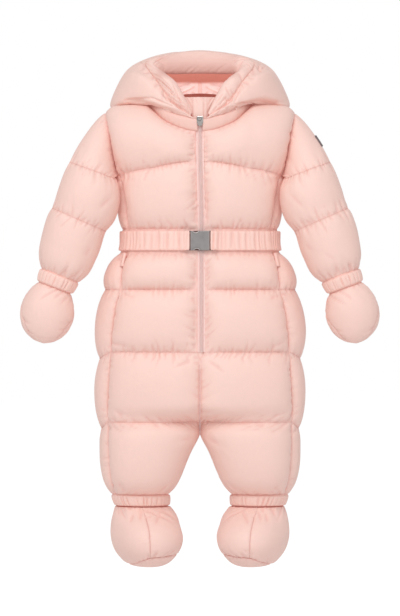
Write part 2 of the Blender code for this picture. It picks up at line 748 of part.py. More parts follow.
def feet():
    """Ankle bands, bootees and soles."""
    fine = np.arange(2 * ANKLE_WAVES) / (2 * ANKLE_WAVES) * 2 * math.pi
    top = ANKLE_BAND[1] + SEAM / 2
    low_leg = {name: float(LEG.at(name, top)) for name in LEG.names[1:]}
    x = (low_leg["inner"] + low_leg["outer"]) / 2
    half_width = (low_leg["outer"] - low_leg["inner"]) / 2
    upper = upright_ring(top, half_width, low_leg["half_depth"], x, 0, fine, LEG_SQUARENESS)
    bootee_top = [float(BOOTEE.at(name, -0.5405)) for name in ("half_width", "half_depth", "x", "y")]
    lower = upright_ring(ANKLE_BAND[0], bootee_top[0] + 0.004, bootee_top[1] + 0.003, *bootee_top[2:], fine)
    closed_pair("ankle_band", *gathered([lower, (upper + lower) / 2, upper], ANKLE_WAVES))
    heights = np.array([-0.6080, -0.5980, -0.5840, -0.5700, -0.5560, -0.5460, -0.5405])
    for name, start, sign in (("bootee_outer", 0, 1), ("bootee_inner", math.pi, -1)):
        turns = np.linspace(start, start + math.pi, 9)
        rings = [bootee_ring(height, turns, sign) for height in heights]
        inside = [bootee_ring(height, turns, sign, WALL) for height in heights]
        pair(name, np.array(rings), np.array(inside))
    around = np.arange(20) / 20 * 2 * math.pi
    ground = BOOTEE.at("x", -0.6080), BOOTEE.at("y", -0.6080)
    rings = [upright_ring(height, wide, deep, *ground, around) for height, wide, deep in SOLE.rows]
    inside = [
        upright_ring(height + lift, max(wide - WALL, 0), max(deep - WALL, 0), *ground, around)
        for (height, wide, deep), lift in zip(SOLE.rows, (WALL, WALL, 0.0020, 0.0005, 0))
    ]
    closed_pair("sole", np.array(rings), np.array(inside), rims=("top",))


def bootee_ring(height, turns, sign, drawn_in=0.0):
    sizes = [float(BOOTEE.at(name, height)) for name in ("half_width", "half_depth", "x", "y")]
    ring = upright_ring(height, sizes[0] - drawn_in, sizes[1] - drawn_in, *sizes[2:], turns)
    away = np.maximum(np.abs(ring[:, 0] - sizes[2]), SEAM / 2) * sign
    return stack(sizes[2] + away, ring[:, 1], ring[:, 2])


def lower_panels():
    """The front, back and side panels from the waist to the ankles."""
    heights, up, puffed = lower_rows(len(FRONT_STEPS), PUFF["front"])
    turns = front_turns(heights, FRONT_STEPS)
    points, lean, raised = body_panel(turns, heights, up, puffed, FRONT_STEPS)
    lean[0] = level(lean[0])
    outside, inside = finished(points, lean, raised, ("left", "right", "bottom", "top"))
    pair("front_lower", outside, inside)
    back_turns = math.pi - np.where(np.arange(len(FRONT_STEPS)) == 0, centre_turns(heights), turns)
    puffed = puffed * PUFF["back"] / PUFF["front"]
    points, lean, raised = body_panel(back_turns, heights, up, puffed, FRONT_STEPS)
    points, lean, raised = points[:, ::-1], lean[:, ::-1], raised[:, ::-1]
    lean[0] = level(lean[0])
    outside, inside = finished(points, lean, raised, ("left", "right", "bottom", "top"))
    pair("back_lower", outside, inside)
    heights, up, puffed = lower_rows(len(SIDE_STEPS), PUFF["side"], SIDE_DROOP)
    first = turn_where(SIDE_SEAM.at("half_width", heights[:, :1]), heights[:, :1])
    turns = blend(first, math.pi - first, np.asarray(SIDE_STEPS)[None, :])
    points, lean, raised = body_panel(turns, heights, up, puffed, SIDE_STEPS)
    lean[0] = level(lean[0])
    outside, inside = finished(points, lean, raised, ("left", "right", "bottom", "top"))
    pair("side_lower", outside, inside)


def centre_turns(heights):
    return np.repeat(turn_where(SEAM / 2, heights[:, :1]), heights.shape[1], axis=1)


def upper_panels_and_sleeves():
    """Upper panels and sleeves, which share the lean of the armhole's edges."""
    front, side, back, armpit_row = upper_body()
    loop, loop_lean = armhole_loop(front, side, back, armpit_row)
    own_start, sleeve_outside = sleeves(loop, loop_lean)
    shares = np.arange(SLEEVE_COLUMNS + 1) / SLEEVE_COLUMNS
    steps = np.linalg.norm(np.diff(loop, axis=0), axis=1)
    length = np.concatenate([[0], np.cumsum(steps)]) / (steps.sum() + np.linalg.norm(loop[0] - loop[-1]))
    wrapped = np.concatenate([own_start, own_start[:1]])
    sleeve_lean = unit(np.stack([np.interp(length, shares, column) for column in wrapped.T], axis=1))
    edge_lean = seam_lean(sleeve_lean, loop_lean)
    count = len(front[0]) - armpit_row - 1
    front[1][armpit_row + 1 :, -1] = edge_lean[:count][::-1]
    side[1][-1] = edge_lean[count : count + len(SIDE_STEPS)]
    back[1][armpit_row + 1 :, 0] = edge_lean[count + len(SIDE_STEPS) :]
    front[1][armpit_row, -1] = side[1][-1, 0]
    back[1][armpit_row, 0] = side[1][-1, -1]
    pair("front_upper", *finished(*front, ("left", "right", "bottom", "top")))
    side[0][-1, 1:-1] = apart(side[0], side[1], ("top", "top"))[-1, 1:-1]  # the sleeve is rounder
    pair("side_upper", *finished(*side, ("left", "right", "bottom", "top")))
    points = apart(back[0], back[1], ("left", "bottom", "top"))
    outside = points + back[1] * back[2][..., None]
    inside = points - back[1] * WALL
    wall("back_upper", both_sides(outside), both_sides(inside))
    neck = [
        np.concatenate([front[part][-1, : NECK_COLUMN + 1], back[part][-1, -NECK_COLUMN - 1 :][1:]])
        for part in (0, 1)
    ]
    return neck, sleeve_outside


def collar_and_hood(neck, neck_lean):
    """The collar stand, the hood's sides and crown, and the brim round its opening."""
    rounds = np.linspace(0, 1, HOOD_COLUMNS + 1)
    coarse = np.linspace(0, 1, 2 * NECK_COLUMN + 1)
    top = smooth(rounds, coarse, neck + stack(0, COLLAR.at("forward", coarse), COLLAR.at("height", coarse)))
    neck, neck_lean = (straight(rounds, coarse, edge) for edge in (neck, neck_lean))
    grid = np.array([neck, blend(neck, top, 0.5), top])
    lean = grid_normals(grid)
    lean[:, -1] = unit(lean[:, -1] * (0, 1, 1))
    hood, hood_lean, brim, brim_lean = hood_grids(rounds, top)
    lean[0] = neck_lean
    lean[-1] = seam_lean(lean[-1], hood_lean[0])
    hood_lean[0] = lean[-1]
    points = apart(grid, lean, ("left", "right", "bottom", "top"))
    pair("collar", kept_to_side(points), kept_to_side(points - lean * WALL * 0.8))
    shared = seam_lean(hood_lean[-1], brim_lean[0])
    hood_lean[-1] = shared
    brim_lean[0] = shared
    length = np.linalg.norm(np.diff(hood, axis=0), axis=-1).sum(axis=0)
    up = np.linspace(0, 1, HOOD_ROWS + 1)[:, None]
    padding = HOOD_PADDING * np.clip((length - 0.045) / 0.060, 0, 1)
    depth = WALL * np.clip(length / 0.040, 0.45, 1) + padding * (1 - np.abs(2 * up - 1) ** 2.2)
    sides = slice(0, CROWN_COLUMN + 1)
    points = apart(hood[:, sides], hood_lean[:, sides], ("left", "right", "bottom", "top"))
    pair("hood_side", points, points - hood_lean[:, sides] * depth[:, sides, None])
    crown, crown_lean, crown_depth = (grid[:, CROWN_COLUMN:] for grid in (hood, hood_lean, depth))
    points = apart(crown, crown_lean, ("left", "bottom", "top"))
    wall("hood_crown", both_sides(points), both_sides(points - crown_lean * crown_depth[..., None]))
    width = np.linalg.norm(brim[-1] - brim[0], axis=-1)
    slim = np.clip(width / 0.020, 0.3, 1)
    over = np.linspace(0, 1, len(brim))[:, None]
    raised = BRIM_PUFF * np.sin(np.pi * over) * slim
    points = apart(brim, brim_lean, ("left", "bottom", "top"))
    outside = points + brim_lean * raised[..., None]
    inside = points - brim_lean * (WALL * slim)[None, :, None]
    wall("hood_brim", both_sides(outside), both_sides(inside))


def hood_grids(rounds, base):
    """The hood from the collar up to the brim's seam, and the brim from there to its edge."""
    lines = {name: smooth(rounds, HOOD_ROUND, line) for name, line in HOOD_LINES.items()}
    knots = np.array([base, lines["low"], lines["wide"], lines["high"], lines["brim_seam"]])
    hood = smooth(np.linspace(0, 4, HOOD_ROWS + 1), np.arange(5), knots)
    brim = np.array([blend(lines["brim_seam"], lines["brim_edge"], share) for share in (0, 0.33, 0.67, 1)])
    leans = []
    for grid in (hood, brim):
        lean = grid_normals(grid)
        lean[:, -1] = unit(lean[:, -1] * (0, 1, 1))
        leans.append(lean)
    return hood, leans[0], brim, leans[1]


def zip_depth(z):
    """y of the front's middle line, up over the neck seam to the collar."""
    body = body_surface(0.0, np.minimum(z, -0.0385))[..., 1]
    return np.where(z > -0.0385, blend(body, -0.0610, np.clip((z + 0.0385) / 0.018, 0, 1)), body)


def strip(name, low, high, left, right, front, thick, material_name, rows=17):
    """A strip beside the middle line: front is how far its face lies behind that line."""
    z = np.linspace(low, high, rows)[:, None]
    outside = stack(np.array([[left, right]]), zip_depth(z) + front, z)
    wall(name, outside, outside + (0, thick, 0), material_name=material_name)


def zip_fastener():
    strip("zip_tape_left", ZIP_END, -0.0200, 0.0025, 0.0049, 0.0012, 0.0008, "zip_tape")
    strip("zip_tape_right", ZIP_END, -0.0200, -0.0049, -0.0025, 0.0012, 0.0008, "zip_tape")
    strip("zip_chain", ZIP_END, -0.0270, -0.0022, 0.0022, 0.0000, 0.0020, "zip_tape")
    z = np.concatenate([np.linspace(ZIP_END - 0.0110, -0.0300, 13), np.linspace(-0.0200, 0.0120, 6)])[:, None]
    x = np.linspace(-1, 1, 9)[None, :] * WIND_GUARD.at("half_width", z)
    outside = stack(x, zip_depth(z) + 0.0036 + GUARD_CURVE * x * x, z)
    wall("wind_guard", outside, outside + (0, 0.0012, 0))


def box(name, size, centre, material_name, bevel=0.0):
    mesh = bpy.data.meshes.new(name)
    shaped = bmesh.new()
    bmesh.ops.create_cube(shaped, size=1)
    bmesh.ops.scale(shaped, vec=size, verts=shaped.verts)
    shaped.to_mesh(mesh)
    shaped.free()
    made = link(name, mesh, material_name)
    made.location = centre
    if bevel:
        edge = made.modifiers.new("Edges", "BEVEL")
        edge.width = bevel
        edge.segments = 2
        edge.limit_method = "ANGLE"
    return made


def boolean(target, tool, operation):
    """Cuts the tool out of the target, or joins it on. The tool itself is left out of the part."""
    bpy.data.collections["baby_snowsuit"].objects.unlink(tool)
    bpy.data.collections["cutters"].objects.link(tool)
    tool.hide_render = True
    tool.display_type = "WIRE"
    made = target.modifiers.new(operation.title(), "BOOLEAN")
    made.operation = operation
    made.solver = "EXACT"
    made.object = tool


SLIDER = {"z": -0.0225, "width": 0.0088, "length": 0.0096, "thick": 0.0024}
BAIL = {"width": 0.0020, "thick": 0.0009, "window": 0.0023, "gap": 0.0017}
TAB = {"width": 0.0060, "length": 0.0095, "thick": 0.0010, "hole_width": 0.0028, "hole": 0.0027}


def slider_and_tab():
    """The zip's slider with its bail, and the tab whose top bar turns in the bail."""
    front = float(zip_depth(np.array(SLIDER["z"]))) - 0.0014 - SLIDER["thick"]
    size = (SLIDER["width"], SLIDER["thick"], SLIDER["length"])
    slider = box("zip_slider", size, (0, front + SLIDER["thick"] / 2, SLIDER["z"]), "zip_metal", 0.0006)
    axis = (0, front - BAIL["gap"] / 2, SLIDER["z"] + 0.0010)
    middle = axis[2] - 0.0008 + BAIL["window"] / 2
    reach = BAIL["gap"] + BAIL["thick"] + 0.0006
    tall = BAIL["window"] + 2 * BAIL["thick"]
    bail = box("bail", (BAIL["width"], reach, tall), (0, front + 0.0006 - reach / 2, middle), "zip_metal")
    window = box("window", (0.0100, BAIL["gap"], BAIL["window"]), (0, axis[1], middle), "zip_metal")
    boolean(bail, window, "DIFFERENCE")
    boolean(slider, bail, "UNION")
    size = (TAB["width"], TAB["thick"], TAB["length"])
    tab = box("pull_tab", size, axis, "zip_metal")
    for corner in tab.data.vertices:
        corner.co.z += TAB["thick"] / 2 - TAB["length"] / 2
    place = (0, axis[1], axis[2] - TAB["thick"] / 2 - TAB["hole"] / 2)
    hole = box("hole", (TAB["hole_width"], 0.0100, TAB["hole"]), place, "zip_metal")
    boolean(tab, hole, "DIFFERENCE")


def cylinder(name, radius, length, centre):
    """A cylinder that lies along Y."""
    mesh = bpy.data.meshes.new(name)
    shaped = bmesh.new()
    bmesh.ops.create_cone(shaped, cap_ends=True, segments=32, radius1=radius, radius2=radius, depth=length)
    for corner in shaped.verts:
        corner.co.y, corner.co.z = corner.co.z, corner.co.y
    bmesh.ops.recalc_face_normals(shaped, faces=shaped.faces)
    shaped.to_mesh(mesh)
    shaped.free()
    made = link(name, mesh, "buckle_metal")
    made.location = centre
    return made


BUCKLE = {"half_width": 0.0170, "half_height": 0.0130, "plate_half": 0.0125, "slot": 0.0020}
HOOK_NOTCHES = ((-0.0057, 0.0150, 0.0043), (-0.0043, -0.0153, 0.0045))  # x, height and radius


def buckle():
    """The frame that the belt's ends loop through, and the hook plate in front of it."""
    high = 2 * BUCKLE["half_height"]
    frame_y = float(body_surface(0.0, WAIST)[1]) - 0.0028
    frame = box("buckle_frame", (2 * BUCKLE["half_width"], 0.0018, high), (0, frame_y, WAIST), "buckle_metal")
    for name, side in (("slot_right", -1), ("slot_left", 1)):
        x = side * (BUCKLE["plate_half"] + BUCKLE["slot"] / 2 + 0.0004)
        slot = box(name, (BUCKLE["slot"], 0.0100, high - 0.0040), (x, frame_y, WAIST), "buckle_metal")
        boolean(frame, slot, "DIFFERENCE")
    plate_y = frame_y - 0.0009 - SEAM - 0.0013
    size = (2 * BUCKLE["plate_half"], 0.0026, high - 0.0004)
    plate = box("buckle_plate", size, (0, plate_y, WAIST), "buckle_metal")
    for x, height, radius in HOOK_NOTCHES:
        notch = cylinder("notch", radius, 0.0100, (x, plate_y, WAIST + height))
        boolean(plate, notch, "DIFFERENCE")
    edge = plate.modifiers.new("Edges", "BEVEL")
    edge.width = 0.0005
    edge.segments = 2
    edge.limit_method = "ANGLE"
    edge.angle_limit = math.radians(50)


def belt():
    """An elastic belt in gathered cloth, from one side of the buckle round the back to the other."""
    columns = 2 * (BELT_WAVES // 2)
    start = float(turn_where(0.0140, np.array(WAIST)))
    dense = np.linspace(start, math.pi, 2000)
    line = body_surface(dense, np.full(2000, WAIST))
    length = np.concatenate([[0], np.cumsum(np.linalg.norm(np.diff(line, axis=0), axis=1))])
    turns = np.interp(np.linspace(0, length[-1], columns + 1), length, dense)[None, :]
    heights = (WAIST + np.array([-0.5, 0.5]) * BELT_WIDTH)[:, None]
    points = body_surface(turns, heights)
    points[:, -1, 0] = 0
    lean = body_normals(turns, heights)
    lean[:, -1] = (0, 1, 0)
    wave = 0.5 - 0.5 * np.cos(np.arange(columns + 1) / 2 * 2 * math.pi)
    near_buckle = np.clip((0.0280 - points[..., 0]) / 0.0100, 0, 1) * (points[..., 1] < 0)
    lift = 0.0006 + 0.0040 * near_buckle * near_buckle * (3 - 2 * near_buckle)
    outside = points + lean * (lift + 0.0018 + 0.0024 * wave)[..., None]
    inside = points + lean * lift[..., None]
    wall("belt", both_sides(outside), both_sides(inside))


def pocket_welts():
    """A welt over each side-front seam, just under the belt, made from the panels' points."""
    heights = np.linspace(*POCKET_WELT["heights"], 4)[:, None] * np.ones(3)
    middle = SIDE_SEAM.at("half_width", heights)
    turns = turn_where(middle + np.array([-0.5, 0, 0.5]) * POCKET_WELT["width"], heights)
    points, lean = body_surface(turns, heights), body_normals(turns, heights)
    clear = lean * POCKET_WELT["clear"]
    pair("pocket_welt", points + clear + lean * POCKET_WELT["thick"], points + clear)


def sleeve_patch(sleeve):
    """A plain patch on the left sleeve's outer edge, made from the sleeve's points, moved out."""
    lines = sleeve.reshape(len(sleeve), -1)
    rows = straight(np.linspace(*SLEEVE_PATCH["rows"], 4), np.arange(len(sleeve)), lines).reshape(4, -1, 3)
    columns = np.linspace(*SLEEVE_PATCH["columns"], 4)
    around = np.arange(-1, 3)
    points = np.array([straight(columns, around, row[around]) for row in rows])
    lean = grid_normals(points)
    lift = lean * SLEEVE_PATCH["clear"]
    wall("sleeve_patch", points + lift + lean * SLEEVE_PATCH["thick"], points + lift, material_name="patch")


def start_scene():
    for old in list(bpy.data.objects):
        bpy.data.objects.remove(old, do_unlink=True)
    for name in ("baby_snowsuit", "cutters"):
        bpy.context.scene.collection.children.link(bpy.data.collections.new(name))


def main():
    start_scene()
    lower_panels()
    (neck, neck_lean), sleeve_outside = upper_panels_and_sleeves()
    collar_and_hood(neck, neck_lean)
    feet()
    zip_fastener()
    slider_and_tab()
    belt()
    buckle()
    pocket_welts()
    sleeve_patch(sleeve_outside)


main()
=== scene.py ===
import math

import bmesh
import bpy
import numpy as np
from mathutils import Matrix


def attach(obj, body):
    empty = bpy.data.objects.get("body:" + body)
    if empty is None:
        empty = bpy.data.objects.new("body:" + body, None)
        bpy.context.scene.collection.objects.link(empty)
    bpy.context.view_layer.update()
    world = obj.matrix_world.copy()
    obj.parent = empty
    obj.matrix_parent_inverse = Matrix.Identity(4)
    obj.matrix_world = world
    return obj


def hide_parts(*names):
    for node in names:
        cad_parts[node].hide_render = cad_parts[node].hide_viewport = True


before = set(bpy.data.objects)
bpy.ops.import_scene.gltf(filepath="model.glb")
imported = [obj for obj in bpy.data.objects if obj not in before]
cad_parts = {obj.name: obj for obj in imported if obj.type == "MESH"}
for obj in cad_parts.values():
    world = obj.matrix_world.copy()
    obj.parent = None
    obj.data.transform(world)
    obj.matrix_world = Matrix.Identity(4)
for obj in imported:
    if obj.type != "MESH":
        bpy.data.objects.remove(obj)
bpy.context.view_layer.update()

print("frame loaded:", len(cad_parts), "nodes")

# Everything is in metres, the front faces -Y, and pieces are worked out on the wearer's left (+X).
# A piece is a grid of points: columns run from the front round the outside to the back, rows upwards.

suit = {
    "wall": 0.0026,  # cloth, down and lining where they are sewn through
    "mesh": 0.0020,  # spacing of the points of a cloth piece
    "waist": -0.1840,
    "beltWidth": 0.0270,
    "armpit": -0.0970,
    "chest": -0.0780,  # chest quilting at the middle
    "zipEnd": -0.3330,
    "neckHalfWidth": 0.0700,
    "shoulderStart": -0.0600,
    "shoulderArc": 0.0950,
    "crotch": (-0.4460, -0.4000),
    "torsoSquareness": 2.5,
    "legSquareness": 2.3,
    "quilting": (-0.5255, -0.4270, -0.3330, -0.2490, -0.2000),
    "neckShare": 0.58,  # share of the front's columns at which the neckline meets the shoulder
}
fullTurn = 2 * math.pi
leftRight = ((1, "left"), (-1, "right"))
seamClear = 0.00015  # half the least gap between two pieces at a seam
bodyRows = (  # height, half width, half depth
    (-0.4600, 0.1310, 0.0640), (-0.4320, 0.1330, 0.0660), (-0.3850, 0.1355, 0.0690),
    (-0.3400, 0.1355, 0.0700), (-0.2900, 0.1345, 0.0700), (-0.2490, 0.1280, 0.0680),
    (-0.2150, 0.1160, 0.0650), (-0.1970, 0.1065, 0.0620), (-0.1680, 0.1045, 0.0610),
    (-0.1480, 0.1030, 0.0630), (-0.1310, 0.1035, 0.0650), (-0.1130, 0.1078, 0.0660),
    (-0.1050, 0.1122, 0.0663), (-0.0970, 0.1158, 0.0665), (-0.0750, 0.1235, 0.0670),
    (-0.0600, 0.1280, 0.0665), (-0.0400, 0.1330, 0.0660), (0.0350, 0.1370, 0.0640),
)
legRows = (  # height, inner edge, outer edge, half depth
    (-0.5260, 0.0420, 0.1185, 0.0400), (-0.5120, 0.0362, 0.1230, 0.0480),
    (-0.4870, 0.0278, 0.1275, 0.0550), (-0.4630, 0.0168, 0.1298, 0.0590),
    (-0.4470, 0.0055, 0.1322, 0.0617), (-0.4380, 0.0000, 0.1330, 0.0625), (-0.4050, 0.0000, 0.1350, 0.0650),
)
sideSeamRows = (  # height, half width
    (-0.5260, 0.1150), (-0.5000, 0.1190), (-0.4600, 0.1225), (-0.4270, 0.1245), (-0.3720, 0.1220),
    (-0.3330, 0.1205), (-0.2960, 0.1165), (-0.2690, 0.1125), (-0.2490, 0.1080), (-0.2170, 0.1030),
    (-0.1980, 0.0990), (-0.1680, 0.0970), (-0.1480, 0.0970), (-0.1310, 0.0985), (-0.1130, 0.1025),
    (-0.1050, 0.1055), (-0.0970, 0.1105), (-0.0770, 0.1155), (-0.0490, 0.1200), (-0.0070, 0.1265),
    (0.0350, 0.1285),
)
shoulderRidgeRows = (  # half width, height
    (0, 0.0200), (0.0350, 0.0130), (0.0550, 0.0040), (0.0620, 0.0011), (0.0700, -0.0013), (0.0800, -0.0029),
    (0.1000, -0.0040), (0.1210, -0.0060),
    (0.1300, -0.0115), (0.1400, -0.0200),
)
necklineRows = (  # half width, height in front, height behind
    (0, -0.0380, 0.0080), (0.0200, -0.0345, 0.0075), (0.0360, -0.0286, 0.0060),
    (0.0510, -0.0200, 0.0030), (0.0610, -0.0100, 0.0000), (0.0700, -0.0030, -0.0030),
)


def smooth(at, stations, values):
    # Cubics between stations: ease = 3t^2 - 2t^3 mixes the two ends, and each end's slope is added on.
    stations, values = np.asarray(stations, float), np.asarray(values, float)
    slopes = np.gradient(values, stations, axis=0)
    at = np.clip(at, stations[0], stations[-1])
    left = np.clip(np.searchsorted(stations, at, side="right") - 1, 0, len(stations) - 2)
    span = stations[left + 1] - stations[left]
    t = (at - stations[left]) / span
    extra = (1,) * (values.ndim - 1)
    t, span = t.reshape(t.shape + extra), span.reshape(span.shape + extra)
    ease = t * t * (3 - 2 * t)
    rise = slopes[left] * (t * (1 - t) ** 2) - slopes[left + 1] * (t * t * (1 - t))
    return values[left] * (1 - ease) + values[left + 1] * ease + rise * span


def column(rows, which, at):
    rows = np.asarray(rows, float)
    return smooth(at, rows[:, 0], rows[:, which])


def unit(vectors):
    return vectors / np.maximum(np.linalg.norm(vectors, axis=-1, keepdims=True), 1e-12)


def stack(x, y, z):
    return np.stack(np.broadcast_arrays(x, y, z), axis=-1)


def blend(low, high, share):
    return low + (high - low) * share


def roundTurns(count):
    # Turns all the way round, with the first one not repeated.
    return np.arange(count) / count * fullTurn


def lengthsAlong(points):
    # Distances along a line of points, in metres.
    return np.concatenate([[0], np.cumsum(np.linalg.norm(np.diff(points, axis=0), axis=1))])


def readAlong(at, along, table):
    # The rows of a table, read at other places along it.
    return np.stack([np.interp(at, along, line) for line in table.T], axis=1)


def lifted(base, lean, lift):
    return base + lean * lift[..., None]


def power(value, exponent):
    return np.sign(value) * np.abs(value) ** exponent


def softStep(value):
    value = np.clip(value, 0, 1)
    return value * value * (3 - 2 * value)


def bell(value):
    return np.exp(-value * value)


def mirrored(points):
    return points * (-1, 1, 1)


def bothSides(points):
    # A grid whose last column is at the middle plane, carried on over the other side.
    return np.concatenate([points, mirrored(points[:, -2::-1])], axis=1)


def bothHalves(values):
    # The same for plain numbers, which are alike on both sides.
    return np.concatenate([values, values[:, -2::-1]], axis=1)


def bothArcs(across, up):
    return np.concatenate([across, 2 * across[:, -1:] - across[:, -2::-1]], axis=1), bothHalves(up)


def bodySurface(turn, height):
    # The suit at its quilting lines: superellipses, turn 0 in front and pi behind, that arch over the
    # shoulders to a ridge above shoulderStart and part into two legs below the crotch.
    turn, height = np.broadcast_arrays(turn, height)
    rise = np.clip((height - suit["shoulderStart"]) / suit["shoulderArc"], 0, 1) * math.pi / 2
    x = column(bodyRows, 1, height) * power(np.sin(turn), 2 / suit["torsoSquareness"])
    y = -column(bodyRows, 2, height) * power(np.cos(turn), 2 / suit["torsoSquareness"]) * np.cos(rise)
    ridge = column(shoulderRidgeRows, 1, np.abs(x))
    start = suit["shoulderStart"]
    torso = stack(x, y, np.where(rise > 0, start + (ridge - start) * np.sin(rise), height))
    inner, outer, deep = (column(legRows, which, height) for which in (1, 2, 3))
    legTurn = 2 * turn - math.pi / 2
    leg = stack(
        (inner + outer) / 2 + (outer - inner) / 2 * power(np.sin(legTurn), 2 / suit["legSquareness"]),
        -deep * power(np.cos(legTurn), 2 / suit["legSquareness"]),
        height,
    )
    low, high = suit["crotch"]
    parted = softStep((high - height) / (high - low))[..., None]
    return torso * (1 - parted) + leg * parted


def bodyNormals(turn, height, step=2e-4):
    along = bodySurface(turn + step, height) - bodySurface(turn - step, height)
    up = bodySurface(turn, height + step) - bodySurface(turn, height - step)
    return unit(np.cross(along, up))


def bodyGrid(turn, height):
    return bodySurface(turn, height), bodyNormals(turn, height)


def turnWhere(halfWidth, height):
    # The turn on the front at which the body is this wide, found by halving.
    halfWidth, height = np.broadcast_arrays(halfWidth, height)
    low, high = np.zeros(height.shape), np.full(height.shape, math.pi / 2)
    for _ in range(26):
        middle = (low + high) / 2
        wider = bodySurface(middle, height)[..., 0] > halfWidth
        low, high = np.where(wider, low, middle), np.where(wider, middle, high)
    return (low + high) / 2


def gridNormals(points, closed=False):
    if closed:
        wrapped = np.concatenate([points[:, -2:], points, points[:, :2]], axis=1)
        return gridNormals(wrapped)[:, 2:-2]
    return unit(np.cross(np.gradient(points, axis=1), np.gradient(points, axis=0)))


def arcs(points, closed=False):
    # Distances along the grid, in metres: across its columns and up its rows.
    if closed:
        points = np.concatenate([points, points[:, :1]], axis=1)
    across = np.linalg.norm(np.diff(points, axis=1), axis=-1)
    up = np.linalg.norm(np.diff(points, axis=0), axis=-1)
    across = np.concatenate([np.zeros((len(points), 1)), np.cumsum(across, axis=1)], axis=1)
    up = np.concatenate([np.zeros((1, points.shape[1])), np.cumsum(up, axis=0)], axis=0)
    return across, up


def ringNormals(base):
    # Normals of stacked rings, turned to point away from each ring's middle.
    lean = gridNormals(base, closed=True)
    outwards = np.sum((base - base.mean(axis=1, keepdims=True)) * lean, axis=(1, 2))
    return np.where(outwards[:, None, None] < 0, -lean, lean)


def fromSides(arc):
    # Distances from the first column and from the last.
    return arc[0], arc[0][:, -1:] - arc[0]


def fromEnds(arc):
    # Distances from the first row and from the last.
    return arc[1], arc[1][-1:] - arc[1]


# Folds and padding, each as a height over the cloth.


def gathers(along, away, seed, spacing, depth, reach, width, around=None, slant=0.0):
    # Short folds square to a seam: each trough is a bell across and dies away from the seam.
    draw = np.random.default_rng(seed)
    start = float(along.min())
    length = around or float(along.max()) - start
    count = max(int(length / spacing), 1)
    place = start + (np.arange(count) + draw.uniform(0.05, 0.95, count)) * length / count
    deep = depth * draw.uniform(0.2, 1.25, count)
    far = reach * draw.uniform(0.35, 1.5, count) ** 1.4
    slant = draw.normal(slant, 0.20, count)
    wide = width * draw.uniform(0.7, 1.5, count)
    away = away[..., None]
    across = along[..., None] - place - slant * away
    if around:
        across = (across + around / 2) % around - around / 2
    across = across / (wide * (1 + away * 40))
    return -(deep * bell(across) * np.exp(-((away / far) ** 1.6))).sum(axis=-1)


def lumps(points, seed, count, size=0.020, depth=0.0008):
    # Uneven padding: wide low bells at random places on the piece.
    draw = np.random.default_rng(seed)
    flat = points.reshape(-1, 3)
    centres = flat[draw.integers(0, len(flat), count)]
    wide = size * draw.uniform(0.7, 1.6, count)
    high = depth * draw.uniform(-1, 1, count)
    far = np.linalg.norm(points[..., None, :] - centres, axis=-1)
    return (high * bell(far / wide)).sum(axis=-1)


def creased(points, creases, side=1):
    # Soft troughs along straight lines seen from the front: a bell of the distance, tapered to both ends.
    lift = np.zeros(points.shape[:2])
    x, z = points[..., 0] * side, points[..., 2]
    for x0, z0, x1, z1, width, depth in creases:
        way = np.array([x1 - x0, z1 - z0])
        share = ((x - x0) * way[0] + (z - z0) * way[1]) / (way @ way)
        inside = np.clip(share, 0, 1)
        far = np.hypot(x - x0 - inside * way[0], z - z0 - inside * way[1])
        lift -= depth * bell(far / width) * (0.35 + 0.65 * np.sin(np.pi * inside))
    return lift


def drags(points, seed, count, length=0.030, width=0.0035, depth=0.0007):
    # Long faint creases at random places and directions, for the sides that face away.
    draw = np.random.default_rng(seed)
    flat = points.reshape(-1, 3)
    lift = np.zeros(points.shape[:2])
    for _ in range(count):
        middle = flat[draw.integers(0, len(flat))]
        way = unit(draw.normal(0, 1, 3) * (1, 1, 0.6)) * length * draw.uniform(0.4, 1.3)
        offset = points - middle
        share = np.clip(offset @ way / (way @ way), -0.5, 0.5)
        far = np.linalg.norm(offset - share[..., None] * way, axis=-1)
        deep = depth * draw.uniform(0.3, 1.2)
        lift -= deep * bell(far / (width * draw.uniform(0.7, 1.5))) * np.cos(np.pi * share)
    return lift


def pillow(across, up, ends=2.4, sides=5.0, sag=0.88):
    # 1 over most of a baffle, 0 at its seams, and fullest a little under its middle.
    return (1 - np.abs(2 * across - 1) ** sides) * (1 - np.abs(2 * up**sag - 1) ** ends)


# Meshes and materials.


class Wire:
    # A shader socket that takes part in sums: w * 2, 1 - w and w + other add Math nodes.
    def __init__(self, paint, socket):
        self.paint, self.socket = paint, socket

    def sum(self, operation, first, second=None):
        values = {0: first} if second is None else {0: first, 1: second}
        return self.paint.node("ShaderNodeMath", {"operation": operation}, values)

    def __add__(self, other):
        return self.sum("ADD", self, other)

    def __sub__(self, other):
        return self.sum("SUBTRACT", self, other)

    def __rsub__(self, other):
        return self.sum("SUBTRACT", other, self)

    def __mul__(self, other):
        return self.sum("MULTIPLY", self, other)

    def __pow__(self, other):
        return self.sum("POWER", self, other)

    def sine(self):
        return self.sum("SINE", self)

    def absolute(self):
        return self.sum("ABSOLUTE", self)

    __radd__, __rmul__ = __add__, __mul__


